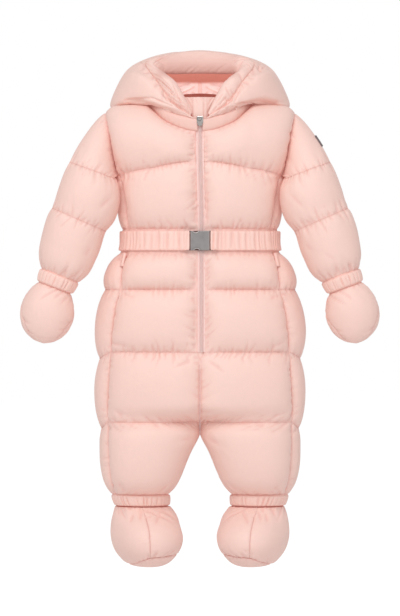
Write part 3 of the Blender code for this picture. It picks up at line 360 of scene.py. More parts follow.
class Paint:
    # One material's node tree.
    def __init__(self, name):
        self.material = bpy.data.materials.new(name)
        self.material.use_nodes = True
        self.tree = self.material.node_tree
        self.shader = self.tree.nodes["Principled BSDF"]

    def node(self, kind, settings=None, values=None, output=0):
        made = self.tree.nodes.new(kind)
        for name, value in (settings or {}).items():
            if name == "stops":
                ramp = made.color_ramp
                while len(ramp.elements) < len(value):
                    ramp.elements.new(1)
                for element, (place, colour) in zip(ramp.elements, value):
                    element.position, element.color = place, (*colour, 1)
            else:
                setattr(made, name, value)
        for name, value in (values or {}).items():
            if isinstance(value, Wire):
                self.tree.links.new(value.socket, made.inputs[name])
            else:
                made.inputs[name].default_value = value
        return Wire(self, made.outputs[output])

    def set(self, **values):
        for name, value in values.items():
            self.shader.inputs[name.replace("_", " ")].default_value = value

    def feed(self, name, wire):
        self.tree.links.new(wire.socket, self.shader.inputs[name])

    def mix(self, share, first, second):
        values = {"Factor": share, 6: first, 7: second}
        return self.node("ShaderNodeMix", {"data_type": "RGBA"}, values, 2)

    def axis(self, where, letter):
        return self.node("ShaderNodeSeparateXYZ", None, {0: where}, letter)

    def ease(self, value, start, end, low=0.0, high=1.0):
        # low at start and high at end, easing in and out between them.
        values = {0: value, 1: start, 2: end, 3: low, 4: high}
        return self.node("ShaderNodeMapRange", {"interpolation_type": "SMOOTHSTEP"}, values)

    def noise(self, where, scale, detail=3.0):
        values = {"Vector": where, "Scale": scale, "Detail": detail}
        return self.node("ShaderNodeTexNoise", None, values, "Fac")

    def bump(self, height, distance, under=None):
        values = {"Height": height, "Distance": distance, "Strength": 1.0}
        if under is not None:
            values["Normal"] = under
        return self.node("ShaderNodeBump", None, values)

    def uv(self):
        return self.node("ShaderNodeUVMap", {"uv_map": "cloth"})

    def place(self):
        return self.node("ShaderNodeTexCoord", None, None, "Object")

    def attribute(self, name):
        return self.node("ShaderNodeAttribute", {"attribute_name": name}, None, "Fac")


def weave(paint, uv, pitch):
    # Plain weave: threads cross over and under, as the product of two sines in metres along the cloth.
    threads = [(paint.axis(uv, letter) * (math.pi / pitch)).sine() for letter in "XY"]
    return threads[0] * threads[1]


def clothPaint(name, look):
    # Dyed nylon: fine weave, faint crumple, and painted shade that makes it a little darker and redder
    # towards the seams and in the troughs of folds.
    paint = Paint(name)
    place = paint.place()
    patches = paint.noise(place, 9.0)
    # Painted shade read from the mesh: near seams, in the troughs of folds and beside the zip.
    paintedShade = paint.attribute("seamTone")
    plain = paint.mix(patches, (*look["light"], 1), (*look["shade"], 1))
    colour = paint.mix(paintedShade * look["seamShadeShare"], plain, (*look["seam"], 1))
    if "through" in look:
        # A faint red glow is painted on all the cloth, standing in for light that comes through it, so that
        # its hollows are red, not black.
        paint.set(Emission_Color=(*look["through"], 1), Emission_Strength=look["throughStrength"])
    if "brimShade" in look:
        # Painted shade on the brim, which leans over the opening: it is darker from its low edge over the
        # face to most of its height.
        height = paint.axis(place, "Z")
        middle = paint.ease((paint.axis(place, "X") + 0.004).absolute(), 0.046, 0.060, 1.0, 0.0)
        brimShadeMask = paint.ease(height, 0.078, 0.046) * paint.ease(height, 0.030, 0.042) * middle
        colour = paint.mix(brimShadeMask, colour, (*look["brimShade"], 1))
    if "glow" in look:
        # Deep in the hood, painted light and shade: towards the back a glow is painted under glowTop,
        # standing in for light that comes through the cloth, dimmer in hollows; above glowTop the colour is
        # painted dark red for the shade under the brim.
        share = paint.ease(paint.axis(place, "Z"), look["glowTop"], look["glowTop"] + 0.005)
        back = paint.ease(paint.axis(place, "Y"), 0.0, 0.035)
        colour = paint.mix(share, colour, (*look["deep"], 1))
        light = paint.mix(share, (*look["glow"], 1), (*look["glowDeep"], 1))
        light = paint.mix(paintedShade * 0.65, light, (*look["glowDeep"], 1))
        paint.feed("Emission Color", paint.mix(back, (0, 0, 0, 1), light))
        paint.set(Emission_Strength=look["glowStrength"])
    paint.feed("Base Color", colour)
    crumple = paint.noise(place, look["crumpleScale"], 4.0)
    paint.feed("Roughness", crumple * 0.16 + (look["roughness"] - 0.08))
    soft = paint.bump(crumple, look["crumpleDepth"])
    paint.feed("Normal", paint.bump(weave(paint, paint.uv(), look["weavePitch"]), look["weaveDepth"], soft))
    paint.set(Sheen_Weight=look["sheen"], Sheen_Roughness=0.45, Specular_IOR_Level=0.42)
    paint.shader.inputs["Sheen Tint"].default_value = (1.0, 0.86, 0.82, 1)
    return paint.material


# The seam colour is the painted shade of seams and fold troughs, and the through colour is a faint glow
# painted on the cloth.
shellLook = {
    "light": (0.850, 0.620, 0.552), "shade": (0.830, 0.590, 0.528), "seam": (0.740, 0.370, 0.330),
    "through": (1.000, 0.420, 0.360), "throughStrength": 0.075,
    "seamShadeShare": 0.50, "roughness": 0.50, "sheen": 0.12, "crumpleScale": 95.0, "crumpleDepth": 0.00060,
    "weavePitch": 0.00042, "weaveDepth": 0.00003,
}
liningLook = dict(shellLook, light=(0.905, 0.570, 0.500), shade=(0.870, 0.520, 0.450), roughness=0.58)
# The brim's look adds its painted shade over the face.
brimLook = dict(shellLook, brimShade=(0.690, 0.420, 0.365))
# The collar is a darker copy of the shell: painted shade under the hood's bulge.
collarShadeLook = dict(shellLook, light=(0.800, 0.545, 0.480), shade=(0.785, 0.515, 0.455))
# The hood's lining: its glow and its dark red above glowTop are painted light and shade.
hoodLiningLook = dict(
    shellLook, light=(0.930, 0.665, 0.590), shade=(0.910, 0.640, 0.570), deep=(0.700, 0.330, 0.270),
    glow=(1.050, 1.100, 1.080), glowDeep=(0.380, 0.190, 0.155), glowTop=0.0325, glowStrength=0.42,
)
elasticLook = dict(shellLook, light=(0.885, 0.632, 0.562), shade=(0.865, 0.602, 0.532), crumpleDepth=0.0003)
tapeLook = {
    "light": (0.950, 0.700, 0.655), "shade": (0.920, 0.670, 0.630), "seam": (0.780, 0.470, 0.430),
    "seamShadeShare": 0.5, "roughness": 0.72, "sheen": 0.2, "crumpleScale": 260.0, "crumpleDepth": 0.0001,
    "weavePitch": 0.00060, "weaveDepth": 0.00010,
}
twillLook = {
    "light": (0.190, 0.145, 0.150), "shade": (0.150, 0.112, 0.120), "seam": (0.100, 0.075, 0.080),
    "seamShadeShare": 0.5, "roughness": 0.66, "sheen": 0.25, "crumpleScale": 300.0, "crumpleDepth": 0.0001,
    "weavePitch": 0.00050, "weaveDepth": 0.00008,
}
shell = clothPaint("nylonShell", shellLook)
lining = clothPaint("nylonLining", liningLook)
hoodLining = clothPaint("hoodLining", hoodLiningLook)
brimShell = clothPaint("brimNylon", brimLook)
collarShadeShell = clothPaint("collarNylonShade", collarShadeLook)
elastic = clothPaint("elasticCasing", elasticLook)
tapeCloth = clothPaint("zipTape", tapeLook)
patchCloth = clothPaint("patchTwill", twillLook)
threadPaint = Paint("sewingThread")
twist = threadPaint.noise(threadPaint.place(), 2600.0, 1.0)
threadPaint.feed("Base Color", threadPaint.mix(twist, (0.86, 0.52, 0.45, 1), (0.74, 0.40, 0.34, 1)))
threadPaint.feed("Normal", threadPaint.bump(twist, 0.0001))
threadPaint.set(Roughness=0.62, Sheen_Weight=0.2)
print("cloth materials made")


def addObject(name, data):
    made = bpy.data.objects.new(name, data)
    bpy.context.scene.collection.objects.link(made)
    return made


def addCloth(name, points, faces, materials, uv, paintedShade, faceMaterial, merge, sharp=55):
    mesh = bpy.data.meshes.new(name)
    mesh.from_pydata(points.tolist(), [], faces.tolist())
    mesh.uv_layers.new(name="cloth").data.foreach_set("uv", np.asarray(uv, np.float32).ravel())
    paintedShades = mesh.attributes.new("seamTone", "FLOAT", "POINT")
    paintedShades.data.foreach_set("value", paintedShade.astype(np.float32).ravel())
    for one in materials:
        mesh.materials.append(one)
    mesh.polygons.foreach_set("material_index", np.asarray(faceMaterial, np.int32))
    if merge:
        shaped = bmesh.new()
        shaped.from_mesh(mesh)
        bmesh.ops.remove_doubles(shaped, verts=shaped.verts, dist=2e-6)
        shaped.to_mesh(mesh)
        shaped.free()
    mesh.shade_smooth()
    mesh.set_sharp_from_angle(angle=math.radians(sharp))
    mesh.validate()
    return addObject(name, mesh)


def shellFaces(rows, columns, closed, rims):
    # Quads of the outside, of the inside turned round, and of the cut edges named in rims.
    steps = columns if closed else columns - 1
    row, col = np.meshgrid(np.arange(rows - 1), np.arange(steps), indexing="ij")
    nextCol = (col + 1) % columns
    a, b = row * columns + col, row * columns + nextCol
    outside = np.stack([a, b, b + columns, a + columns], axis=-1).reshape(-1, 4)
    inner = rows * columns
    inside = outside[:, ::-1] + inner
    here = np.arange(steps)
    after = (here + 1) % columns
    up = np.arange(rows - 1) * columns
    last = up + columns - 1
    top = (rows - 1) * columns
    ends = {
        "bottom": (after, here), "top": (top + here, top + after),
        "left": (up, up + columns), "right": (last + columns, last),
    }
    edges = [
        np.stack([one, other, other + inner, one + inner], axis=-1)
        for one, other in (ends[name] for name in rims if not (closed and name in ("left", "right")))
    ]
    return outside, inside, edges


allRims = ("bottom", "top", "left", "right")
# How the painted shade in troughs is measured, and how strong it is.
hollows = {"step": 2, "full": 0.00045, "share": 0.62}


def paintedHollowShade(points, closed=False, way=1):
    # How far each point lies under the mean of its neighbours two steps away, so that painted shade turns the
    # troughs redder.
    step = hollows["step"]
    lean = gridNormals(points, closed) * way
    sideways = np.pad(points, ((0, 0), (step, step), (0, 0)), "wrap" if closed else "edge")
    upwards = np.pad(points, ((step, step), (0, 0), (0, 0)), "edge")
    across = (sideways[:, 2 * step :] + sideways[:, : -2 * step]) / 2 - points
    along = (upwards[2 * step :] + upwards[: -2 * step]) / 2 - points
    if not closed:
        across[:, :step], across[:, -step:] = 0, 0
    along[:step], along[-step:] = 0, 0
    return hollows["share"] * np.clip(np.sum((across + along) * lean, axis=-1) / hollows["full"], 0, 1)


def clothPiece(
    name, outer, inner, arc, paintedShade, closed=False, rims=allRims, materials=(shell, lining), side=1, merge=False
):
    # A shell between two grids, mirrored where side is -1, with its length and width as its UV map.
    across, up = arc
    if side < 0:
        outer, inner, paintedShade = mirrored(outer)[:, ::-1], mirrored(inner)[:, ::-1], paintedShade[:, ::-1]
        across, up = across[:, ::-1], up[:, ::-1]
    # Painted shade also goes into the troughs of the outside, and into the inside at half the outside's, more
    # in its own troughs.
    paintedShade = np.maximum(paintedShade, paintedHollowShade(outer, closed))
    innerPaintedShade = np.maximum(paintedShade * 0.5, paintedHollowShade(inner, closed, -1))
    rows, columns = outer.shape[:2]
    outside, inside, edges = shellFaces(rows, columns, closed, rims)
    wide = across.shape[1]
    row, col = np.divmod(outside[:, 0], columns)
    first = row * wide + col
    corners = np.stack([first, first + 1, first + 1 + wide, first + wide], axis=-1) if closed else outside
    uv = np.stack([across.ravel(), up.ravel()], axis=-1)
    edgeFaces = np.concatenate(edges) if edges else np.zeros((0, 4), int)
    uvs = np.concatenate([uv[corners], uv[corners[:, ::-1]], np.zeros((len(edgeFaces), 4, 2))])
    faces = np.concatenate([outside, inside, edgeFaces])
    which = np.repeat([0, 1, 0], [len(outside), len(inside), len(edgeFaces)])
    points = np.concatenate([outer.reshape(-1, 3), inner.reshape(-1, 3)])
    paintedShades = np.concatenate([paintedShade.ravel(), innerPaintedShade.ravel()])
    return addCloth(name, points, faces, materials, uvs, paintedShades, which, merge)


def ready(piece, node):
    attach(piece, "snowsuit")
    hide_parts(*([node] if isinstance(node, str) else node))
    return piece


def dress(node, outer, inner, arc, paintedShade, fill=None, **ways):
    # The cloth piece that stands for one node and is named for it.
    return ready(clothPiece(f"shell_{node}", outer, inner, arc, paintedShade, **ways), node)


def keepLeft(*grids):
    # Keeps a piece on its own side of a seam in the middle plane.
    for grid in grids:
        grid[..., 0] = np.maximum(grid[..., 0], seamClear)


# How a cut edge turns in, and how wide the painted shade beside a seam is.
seamRoll = {"width": 0.0011, "depth": 0.0010, "shadeWidth": 0.0009}
deepest = -0.0018  # no fold goes deeper than this, so that the cloth's outside stays over its inside


def rolled(edge, width=seamRoll["width"]):
    # The cut edge turns in: a bell of the distance from the seam, in metres.
    return -seamRoll["depth"] * bell(edge / width)


def seamTone(*distances):
    # Painted shade: darker and redder towards the nearest seam.
    nearest = np.minimum.reduce(np.broadcast_arrays(*distances))
    return 0.7 * np.exp(-nearest / seamRoll["shadeWidth"])


stitchLines = []  # each is points and normals along a line of sewing, with its pitch


def sewn(points, normals, side=1, pitch=0.0036, lift=0.0003):
    points = points + normals * lift
    stitchLines.append((mirrored(points), mirrored(normals), pitch) if side < 0 else (points, normals, pitch))


def sewnAcross(outer, lean, rows, side):
    for row in rows:
        sewn(outer[row], lean[row], side)


# Torso and legs.

frontLook = {
    "columns": 62, "puff": 0.0120, "placket": 0.0036, "placketStitch": 0.0032, "lumps": 16,
    "stitchFrom": 20, "stitchRow": 40,  # the row where the stitching starts, and one that finds its column
}
backLook = {"puff": 0.0110, "lumps": 16, "drags": 7}
sideLook = {
    "upperColumns": 30, "lowerColumns": 44, "puff": 0.0070, "upperPuff": 0.0080, "droop": 0.0090, "lumps": 8,
}
quiltGather = {"spacing": 0.0037, "depth": 0.0022, "reach": 0.0075, "width": 0.0014}
sideGather = {"spacing": 0.0085, "depth": 0.0016, "reach": 0.0080, "width": 0.0019}
placketGather = {  # the wearer's right side is pulled into slanting folds, the left one is neater
    1: {"spacing": 0.0066, "depth": 0.0010, "reach": 0.0060, "width": 0.0014, "slant": 0.5},
    -1: {"spacing": 0.0052, "depth": 0.0030, "reach": 0.0060, "width": 0.0014, "slant": -0.35},
}
placketShadow = {1: 0.4, -1: 1.5}  # how much darker the edge beside the zip is
placketEdge = {  # the gap's half width beside the chest and below the belt, and how far its edge wavers
    1: (0.0034, 0.0052, 0.0001), -1: (0.0050, 0.0020, 0.0006),
}


def lowShare(height):
    # 0 at the chest, 1 from above the belt down.
    return softStep((-0.060 - height) / 0.090)


def zipGap(height, side):
    # The gap from the middle to a front panel: open beside the zip, sewn shut under it.
    opened = softStep((height - suit["zipEnd"] + 0.009) / 0.009)
    high, low, waver = placketEdge[side]
    waves = np.sin(height / 0.0042) + 0.7 * np.sin(height / 0.0025 + 1)
    return blend(seamClear, blend(high, low, lowShare(height)) + waver * waves, opened)


def frontTurns(heights, steps, side=1):
    # Each column's turn, from the zip by way of the neck's corner to the side seam.
    neck = math.asin((suit["neckHalfWidth"] / bodyRows[-1][1]) ** (suit["torsoSquareness"] / 2))
    first = turnWhere(zipGap(heights, side), heights)
    last = turnWhere(column(sideSeamRows, 1, heights), heights)
    corner = suit["neckShare"]
    towardsNeck = blend(first, neck, steps / corner)
    beyondNeck = blend(neck, last, (steps - corner) / (1 - corner))
    return np.where(steps <= corner, towardsNeck, beyondNeck)


def neckHeights(steps, which, side=1):
    # The height at which each column reaches the neckline, or the shoulder's ridge beyond it.
    start, arc = suit["shoulderStart"], suit["shoulderArc"]
    heights = np.full(len(steps), start + arc)
    for _ in range(24):
        x = bodySurface(frontTurns(heights, steps, side), heights)[..., 0]
        ridge = column(shoulderRidgeRows, 1, x) - start
        sine = (column(necklineRows, which, x) - start) / ridge
        cut = start + arc * np.arcsin(np.clip(sine, 0, 1)) / (math.pi / 2)
        heights = np.where(steps < suit["neckShare"] - 1e-9, cut, start + arc)
    return heights


def baffleRows(levels, puffs):
    # Rows between quilting lines: their heights, share of the way up, puff, and which rows are sewn.
    heights, up, puffed, sewnRows = [], [], [], [0]
    for low, high, puff in zip(levels, levels[1:], puffs):
        count = max(3, int(round(float(np.mean(high - low)) / suit["mesh"])))
        share = (np.arange(count) / count)[:, None]
        heights.append(blend(low[None, :], high[None, :], share))
        up.append(np.broadcast_to(share, heights[-1].shape))
        puffed.append(np.full(heights[-1].shape, puff))
        sewnRows.append(sewnRows[-1] + count)
    heights.append(levels[-1][None, :])
    up.append(np.ones((1, len(levels[-1]))))
    puffed.append(np.zeros((1, len(levels[-1]))))
    return (*(np.concatenate(part) for part in (heights, up, puffed)), sewnRows)


def fineSteps(count):
    corner = suit["neckShare"]
    before = int(round(count * corner))
    inside = np.linspace(0, corner, before, endpoint=False)
    return np.concatenate([inside, np.linspace(corner, 1, count - before)])


def beyondPlacket(base, placket):
    # Each point's share of the way from the placket to the last column.
    across, _ = arcs(base)
    return np.clip((across - placket) / (across[:, -1:] - placket), 0, 1)


def quilted(base, up, across, puffed, sewnRows, seed, look, lastSewn=True):
    # Padding, lumps and gathers over one panel. Returns the height over the cloth, the arcs, and the
    # distances from each sewn row, the first column and the last.
    arcAcross, arcUp = arcs(base)
    padding = pillow(across, up) * np.clip((arcUp[-1:] - arcUp) / 0.007, 0, 1) ** 0.6
    lift = puffed * padding + lumps(base, seed, look["lumps"]) * padding
    near = []
    for index, row in enumerate(sewnRows):
        away = np.abs(arcUp - arcUp[row])
        near.append(away)
        full = np.clip(puffed * 90, 0, 1) * (0.3 if row == sewnRows[-1] else 1)
        lift += gathers(arcAcross, away, seed + 10 + index, **quiltGather) * (0.25 + 0.75 * full)
    for index, edge in enumerate((0, -1)):
        away = np.abs(arcAcross - arcAcross[:, edge : edge + 1 or None])
        near.append(away)
        if index == 0 or lastSewn:
            lift += gathers(arcUp, away, seed + 30 + index, **sideGather)
    return lift, (arcAcross, arcUp), near


def finishPanel(node, base, lean, lift, arc, near, side=1, middle=False, dark=0.0):
    # Rolls the edges in and makes the piece. A middle panel has no seam at its last column: it is
    # carried on over the other side.
    seams = near[:-1] if middle else near
    edge = np.minimum.reduce([near[0], near[-3], near[-2], seams[-1]])
    lift = np.maximum(lift + rolled(edge), deepest)
    outer, inner = lifted(base, lean, lift), base - lean * suit["wall"]
    # Painted shade at the seams, and the painted shadow beside the zip where dark is given.
    paintedShade = np.maximum(seamTone(*seams), dark)
    if middle:
        outer, inner, arc, paintedShade = bothSides(outer), bothSides(inner), bothArcs(*arc), bothHalves(paintedShade)
    else:
        keepLeft(outer, inner)
    dress(node, outer, inner, arc, paintedShade, 0.7, side=side)


def evenTop(heights, up, topRow):
    # The top baffle's rows and padding follow the neckline and the shoulder as one smooth line, and its
    # rows turn into the real edge only close under it.
    top = np.pad(heights[-1], 10, "edge")
    soft = np.hanning(21)
    top = np.convolve(top, soft / soft.sum(), "valid")
    low, share = heights[topRow].copy(), up[topRow:]
    heights, padUp = heights.copy(), up.copy()
    heights[topRow:] = blend(low, top, share) + share**8 * (heights[-1] - top)
    padUp[topRow:] = np.clip((heights[topRow:] - low) / (top - low), 0, 1)
    return heights, padUp


def upperLevels(steps, which, side=1):
    flat = np.ones(len(steps))
    chest = suit["chest"] + (suit["armpit"] - suit["chest"]) * steps**1.5
    return [flat * suit["waist"], flat * (suit["waist"] + 0.016), chest, neckHeights(steps, which, side)]


frontUpperCreases = {
    1: (
        (0.112, -0.098, 0.080, -0.108, 0.0040, 0.0012), (0.108, -0.130, 0.086, -0.122, 0.0030, 0.0008),
        (0.118, -0.060, 0.105, -0.080, 0.0045, 0.0009), (0.060, -0.018, 0.072, -0.045, 0.0060, 0.0008),
    ),
    -1: (
        (-0.112, -0.096, -0.084, -0.103, 0.0036, 0.0011), (-0.106, -0.140, -0.090, -0.126, 0.0030, 0.0009),
        (-0.118, -0.050, -0.108, -0.082, 0.0040, 0.0009), (-0.056, -0.022, -0.066, -0.052, 0.0060, 0.0007),
    ),
}
steps = fineSteps(frontLook["columns"])
armhole, neckEdge = {}, {}
for side, sideName in leftRight:
    seed = 100 if side > 0 else 140
    puffs = (0, frontLook["puff"], frontLook["puff"])
    heights, up, puffed, sewnRows = baffleRows(upperLevels(steps, 1, side), puffs)
    armpitRow = sewnRows[2]
    heights, padUp = evenTop(heights, up, armpitRow)
    turns = frontTurns(heights, steps, side)
    base, lean = bodyGrid(turns, heights)
    share = beyondPlacket(base, frontLook["placket"])
    share[armpitRow:] = share[armpitRow]
    lift, arc, near = quilted(base, padUp, share, puffed, sewnRows, seed, frontLook)
    fromStitch = arc[0] - frontLook["placketStitch"]
    lift += gathers(arc[1], np.abs(fromStitch), seed + 5, **placketGather[side])
    lift -= 0.0010 * bell(fromStitch / 0.0009)
    lift += creased(base, frontUpperCreases[side], side)
    # Painted shadow along the panel's edge beside the zip.
    dark = placketShadow[side] * bell(arc[0] / 0.0020)
    finishPanel(f"front_upper_{sideName}", base, lean, lift, arc, near, side, dark=dark)
    outer = lifted(base, lean, lift)
    sewnAcross(outer, lean, [armpitRow], side)
    stitchColumn = int(np.argmin(np.abs(fromStitch[frontLook["stitchRow"]])))
    stitched = slice(frontLook["stitchFrom"], None), stitchColumn
    sewn(outer[stitched], lean[stitched], side, pitch=0.0030)
    if side > 0:
        above, below = slice(armpitRow + 1, None), slice(armpitRow + 1)
        armhole["front"] = base[above, -1][::-1], lean[above, -1][::-1]
        neckEdge["front"] = base[-1], lean[-1]
        sideHeights, sideTurn, sidePuffed, sideUp = (
            grid[below, -1:].copy() for grid in (heights, turns, puffed, up)
        )
        sideUp[-1] = 1
        sideSewn = sewnRows[:3]

heights, up, puffed, sewnRows = baffleRows(upperLevels(steps, 2), (0, backLook["puff"], backLook["puff"]))
turns = math.pi - frontTurns(heights, steps)
turns[:, 0] = math.pi
turns, heights, up, puffed = (grid[:, ::-1] for grid in (turns, heights, up, puffed))
base, lean = bodyGrid(turns, heights)
base[:, -1, 0] = 0
lean[:, -1] = unit(lean[:, -1] * (0, 1, 1))
share = 0.5 - 0.5 * np.broadcast_to(steps[::-1], base.shape[:2])
_, padUp = evenTop(heights, up, armpitRow)
lift, arc, near = quilted(base, padUp, share, puffed, sewnRows, 180, backLook, lastSewn=False)
lift += drags(base, 190, backLook["drags"]) * pillow(share, up)
armhole["back"] = base[above, 0], lean[above, 0]
neckEdge["back"] = base[-1], lean[-1]
finishPanel("back_upper", base, lean, lift, arc, near, middle=True)
sewnAcross(bothSides(lifted(base, lean, lift)), bothSides(lean), [armpitRow], 1)

sideShares = np.linspace(0, 1, sideLook["upperColumns"])[None, :]
base, lean = bodyGrid(blend(sideTurn, math.pi - sideTurn, sideShares), sideHeights)
armhole["side"] = base[-1], lean[-1]
raised = np.where(sidePuffed > 0, sideLook["upperPuff"], 0) * np.ones_like(sideShares)
for side, sideName in leftRight:
    seed = 200 if side > 0 else 220
    lift, arc, near = quilted(base, sideUp, sideShares, raised, sideSewn, seed, sideLook)
    finishPanel(f"side_upper_{sideName}", base, lean, lift, arc, near, side)
print("upper panels made")


frontLowerCreases = {
    1: (
        (0.012, -0.345, 0.030, -0.358, 0.0030, 0.0014), (0.008, -0.424, 0.030, -0.412, 0.0034, 0.0013),
        (0.010, -0.442, 0.034, -0.455, 0.0036, 0.0014), (0.112, -0.318, 0.090, -0.329, 0.0034, 0.0012),
        (0.116, -0.412, 0.094, -0.422, 0.0032, 0.0013), (0.108, -0.255, 0.092, -0.262, 0.0030, 0.0011),
        (0.046, -0.508, 0.060, -0.520, 0.0030, 0.0014), (0.104, -0.506, 0.094, -0.520, 0.0028, 0.0012),
    ),
    -1: (
        (-0.010, -0.343, -0.032, -0.352, 0.0032, 0.0015), (-0.008, -0.426, -0.026, -0.409, 0.0030, 0.0014),
        (-0.008, -0.443, -0.038, -0.450, 0.0034, 0.0012), (-0.114, -0.320, -0.088, -0.328, 0.0036, 0.0013),
        (-0.114, -0.410, -0.090, -0.423, 0.0034, 0.0012), (-0.106, -0.253, -0.088, -0.260, 0.0030, 0.0012),
        (-0.048, -0.506, -0.058, -0.521, 0.0028, 0.0013), (-0.106, -0.504, -0.098, -0.521, 0.0030, 0.0014),
    ),
}


def lowerLevels(count, droop=0.0):
    flat = np.ones(count)
    sag = droop * np.sin(np.pi * np.linspace(0, 1, count))
    ankle, knee, hip, pocket, belt = suit["quilting"]
    return [ankle * flat, knee - sag, hip - sag, pocket * flat, belt * flat, suit["waist"] * flat]


for side, sideName in leftRight:
    seed = 300 if side > 0 else 400
    puff = frontLook["puff"]
    heights, up, puffed, sewnRows = baffleRows(lowerLevels(len(steps)), (puff,) * 4 + (0,))
    base, lean = bodyGrid(frontTurns(heights, steps, side), heights)
    opened = softStep((heights[:, :1] - suit["zipEnd"] + 0.02) / 0.02)
    placket = blend(0.0010, frontLook["placket"], opened)
    share = beyondPlacket(base, placket)
    lift, arc, near = quilted(base, up, share, puffed, sewnRows, seed, frontLook)
    beside = np.clip(placket * 300, 0, 1)
    lift += gathers(arc[1], np.abs(arc[0] - placket), seed + 5, **placketGather[side]) * beside
    lift -= 0.0010 * bell((arc[0] - placket + 0.0004) / 0.0009) * (placket > 0.003)
    thigh = bell((base[..., 2] + 0.4230) / 0.0150) * bell(arc[0] / 0.0120)
    lift += 0.0030 * thigh + creased(base, frontLowerCreases[side], side)
    # Painted shadow along the panel's edge beside the zip.
    dark = placketShadow[side] * bell(arc[0] / 0.0020) * softStep((base[..., 2] - suit["zipEnd"]) / 0.010)
    finishPanel(f"front_lower_{sideName}", base, lean, lift, arc, near, side, dark=dark)
    sewnAcross(lifted(base, lean, lift), lean, sewnRows[1:4], side)

    turns = math.pi - blend(turnWhere(seamClear, heights), frontTurns(heights, steps), softStep(steps * 8))
    turns, heights, up, puffed = (grid[:, ::-1] for grid in (turns, heights, up, puffed))
    base, lean = bodyGrid(turns, heights)
    share = np.broadcast_to(1 - steps[::-1], base.shape[:2])
    puffed = puffed * backLook["puff"] / puff
    lift, arc, near = quilted(base, up, share, puffed, sewnRows, seed + 50, backLook)
    lift += drags(base, seed + 60, backLook["drags"]) * pillow(share, up)
    finishPanel(f"back_lower_{sideName}", base, lean, lift, arc, near, side)
    sewnAcross(lifted(base, lean, lift), lean, sewnRows[1:4], side)

    levels = lowerLevels(sideLook["lowerColumns"], sideLook["droop"])
    heights, up, puffed, sewnRows = baffleRows(levels, (sideLook["puff"],) * 4 + (0,))
    first = turnWhere(column(sideSeamRows, 1, heights[:, :1]), heights[:, :1])
    shares = np.linspace(0, 1, sideLook["lowerColumns"])[None, :]
    base, lean = bodyGrid(blend(first, math.pi - first, shares), heights)
    lift, arc, near = quilted(base, up, shares, puffed, sewnRows, seed + 80, sideLook)
    finishPanel(f"side_lower_{sideName}", base, lean, lift, arc, near, side)
    sewnAcross(lifted(base, lean, lift), lean, sewnRows[1:4], side)
print("lower panels made")

# Sleeves, cuffs and mittens.

sleeveRows = (  # along, inner x, inner z, outer x, outer z, half depth, y
    (0, 0.1112, -0.1015, 0.1752, -0.0780, 0.0400, -0.0260),
    (0.22, 0.1086, -0.1160, 0.1800, -0.0950, 0.0412, -0.0310),
    (0.45, 0.1094, -0.1330, 0.1852, -0.1120, 0.0410, -0.0340),
    (0.78, 0.1170, -0.1580, 0.1924, -0.1310, 0.0395, -0.0340),
    (1, 0.1265, -0.1715, 0.1985, -0.1400, 0.0385, -0.0340),
    (1.5, 0.1402, -0.2050, 0.2100, -0.1830, 0.0375, -0.0330),
    (1.8, 0.1520, -0.2290, 0.2140, -0.2060, 0.0340, -0.0330),
    (2, 0.1640, -0.2405, 0.2135, -0.2215, 0.0265, -0.0330),
)
sleeveLook = {"puff": 0.0042, "columns": 132, "rows": 34, "lumps": 26, "drags": 10}
cuffEnd = {"inner": (0.1725, -0.2545), "outer": (0.2175, -0.2375), "halfDepth": 0.0230, "y": -0.0330}
sleeveGather = {"spacing": 0.0050, "depth": 0.0024, "reach": 0.0095, "width": 0.0016}
wristGather = {"spacing": 0.0062, "depth": 0.0030, "reach": 0.0115, "width": 0.0019}
armholeTurn = {"reach": 0.0040, "depth": 0.0030, "thick": 0.0008}  # the allowance turned in under the panels


def ellipseRing(inner, outer, halfDepth, y, turns):
    # A slanted ellipse between two points of the side outline, turning from its outer end round the front.
    inner, outer = (np.array([x, y, z]) for x, z in (inner, outer))
    middle, half = (inner + outer) / 2, (outer - inner) / 2
    return middle + np.cos(turns)[:, None] * half + np.sin(turns)[:, None] * np.array([0, -halfDepth, 0])


def sleeveRing(along, turns):
    sizes = [float(column(sleeveRows, which, along)) for which in range(1, 7)]
    return ellipseRing(sizes[:2], sizes[2:4], *sizes[4:], turns)


sleeveCreases = {
    1: (
        (0.128, -0.090, 0.140, -0.118, 0.0050, 0.0014), (0.120, -0.120, 0.138, -0.140, 0.0040, 0.0013),
        (0.150, -0.052, 0.158, -0.082, 0.0050, 0.0008), (0.140, -0.185, 0.152, -0.200, 0.0040, 0.0010),
    ),
    -1: (
        (-0.128, -0.088, -0.142, -0.112, 0.0050, 0.0014), (-0.118, -0.124, -0.136, -0.142, 0.0040, 0.0013),
        (-0.152, -0.050, -0.160, -0.078, 0.0050, 0.0008), (-0.146, -0.190, -0.154, -0.206, 0.0040, 0.0011),
    ),
}
loop = np.concatenate([np.hstack(armhole[part]) for part in ("front", "side", "back")])
loop = np.concatenate([loop, loop[:1]])
length = lengthsAlong(loop[:, :3])
count = sleeveLook["columns"]
both = readAlong(np.arange(count) / count * length[-1], length, loop)
top, topLean = both[:, :3], unit(both[:, 3:])
turns = roundTurns(count)
firstRing = sleeveRing(0, turns)
capShares = np.linspace(0, 1, sleeveLook["rows"], endpoint=False)
alongShares = np.linspace(0, 2, 2 * sleeveLook["rows"] + 1)
rings = [blend(top, firstRing, share) for share in capShares]
base = np.array(rings + [sleeveRing(float(share), turns) for share in alongShares])
lean = ringNormals(base)
lean = unit(blend(lean, unit(lean[0] + topLean), bell(np.arange(len(base)) / 3.0)[:, None, None]))
up = np.concatenate([capShares, alongShares[:-1] % 1, [1]])[:, None] * np.ones(count)
reach = np.linalg.norm(firstRing - top, axis=1)
puffed = np.full(base.shape[:2], sleeveLook["puff"])
capRows = len(capShares)
puffed[:capRows] *= np.clip((reach - 0.018) / 0.060, 0, 1)
puffed[capRows:] *= 0.75 + 0.25 * np.cos(turns)
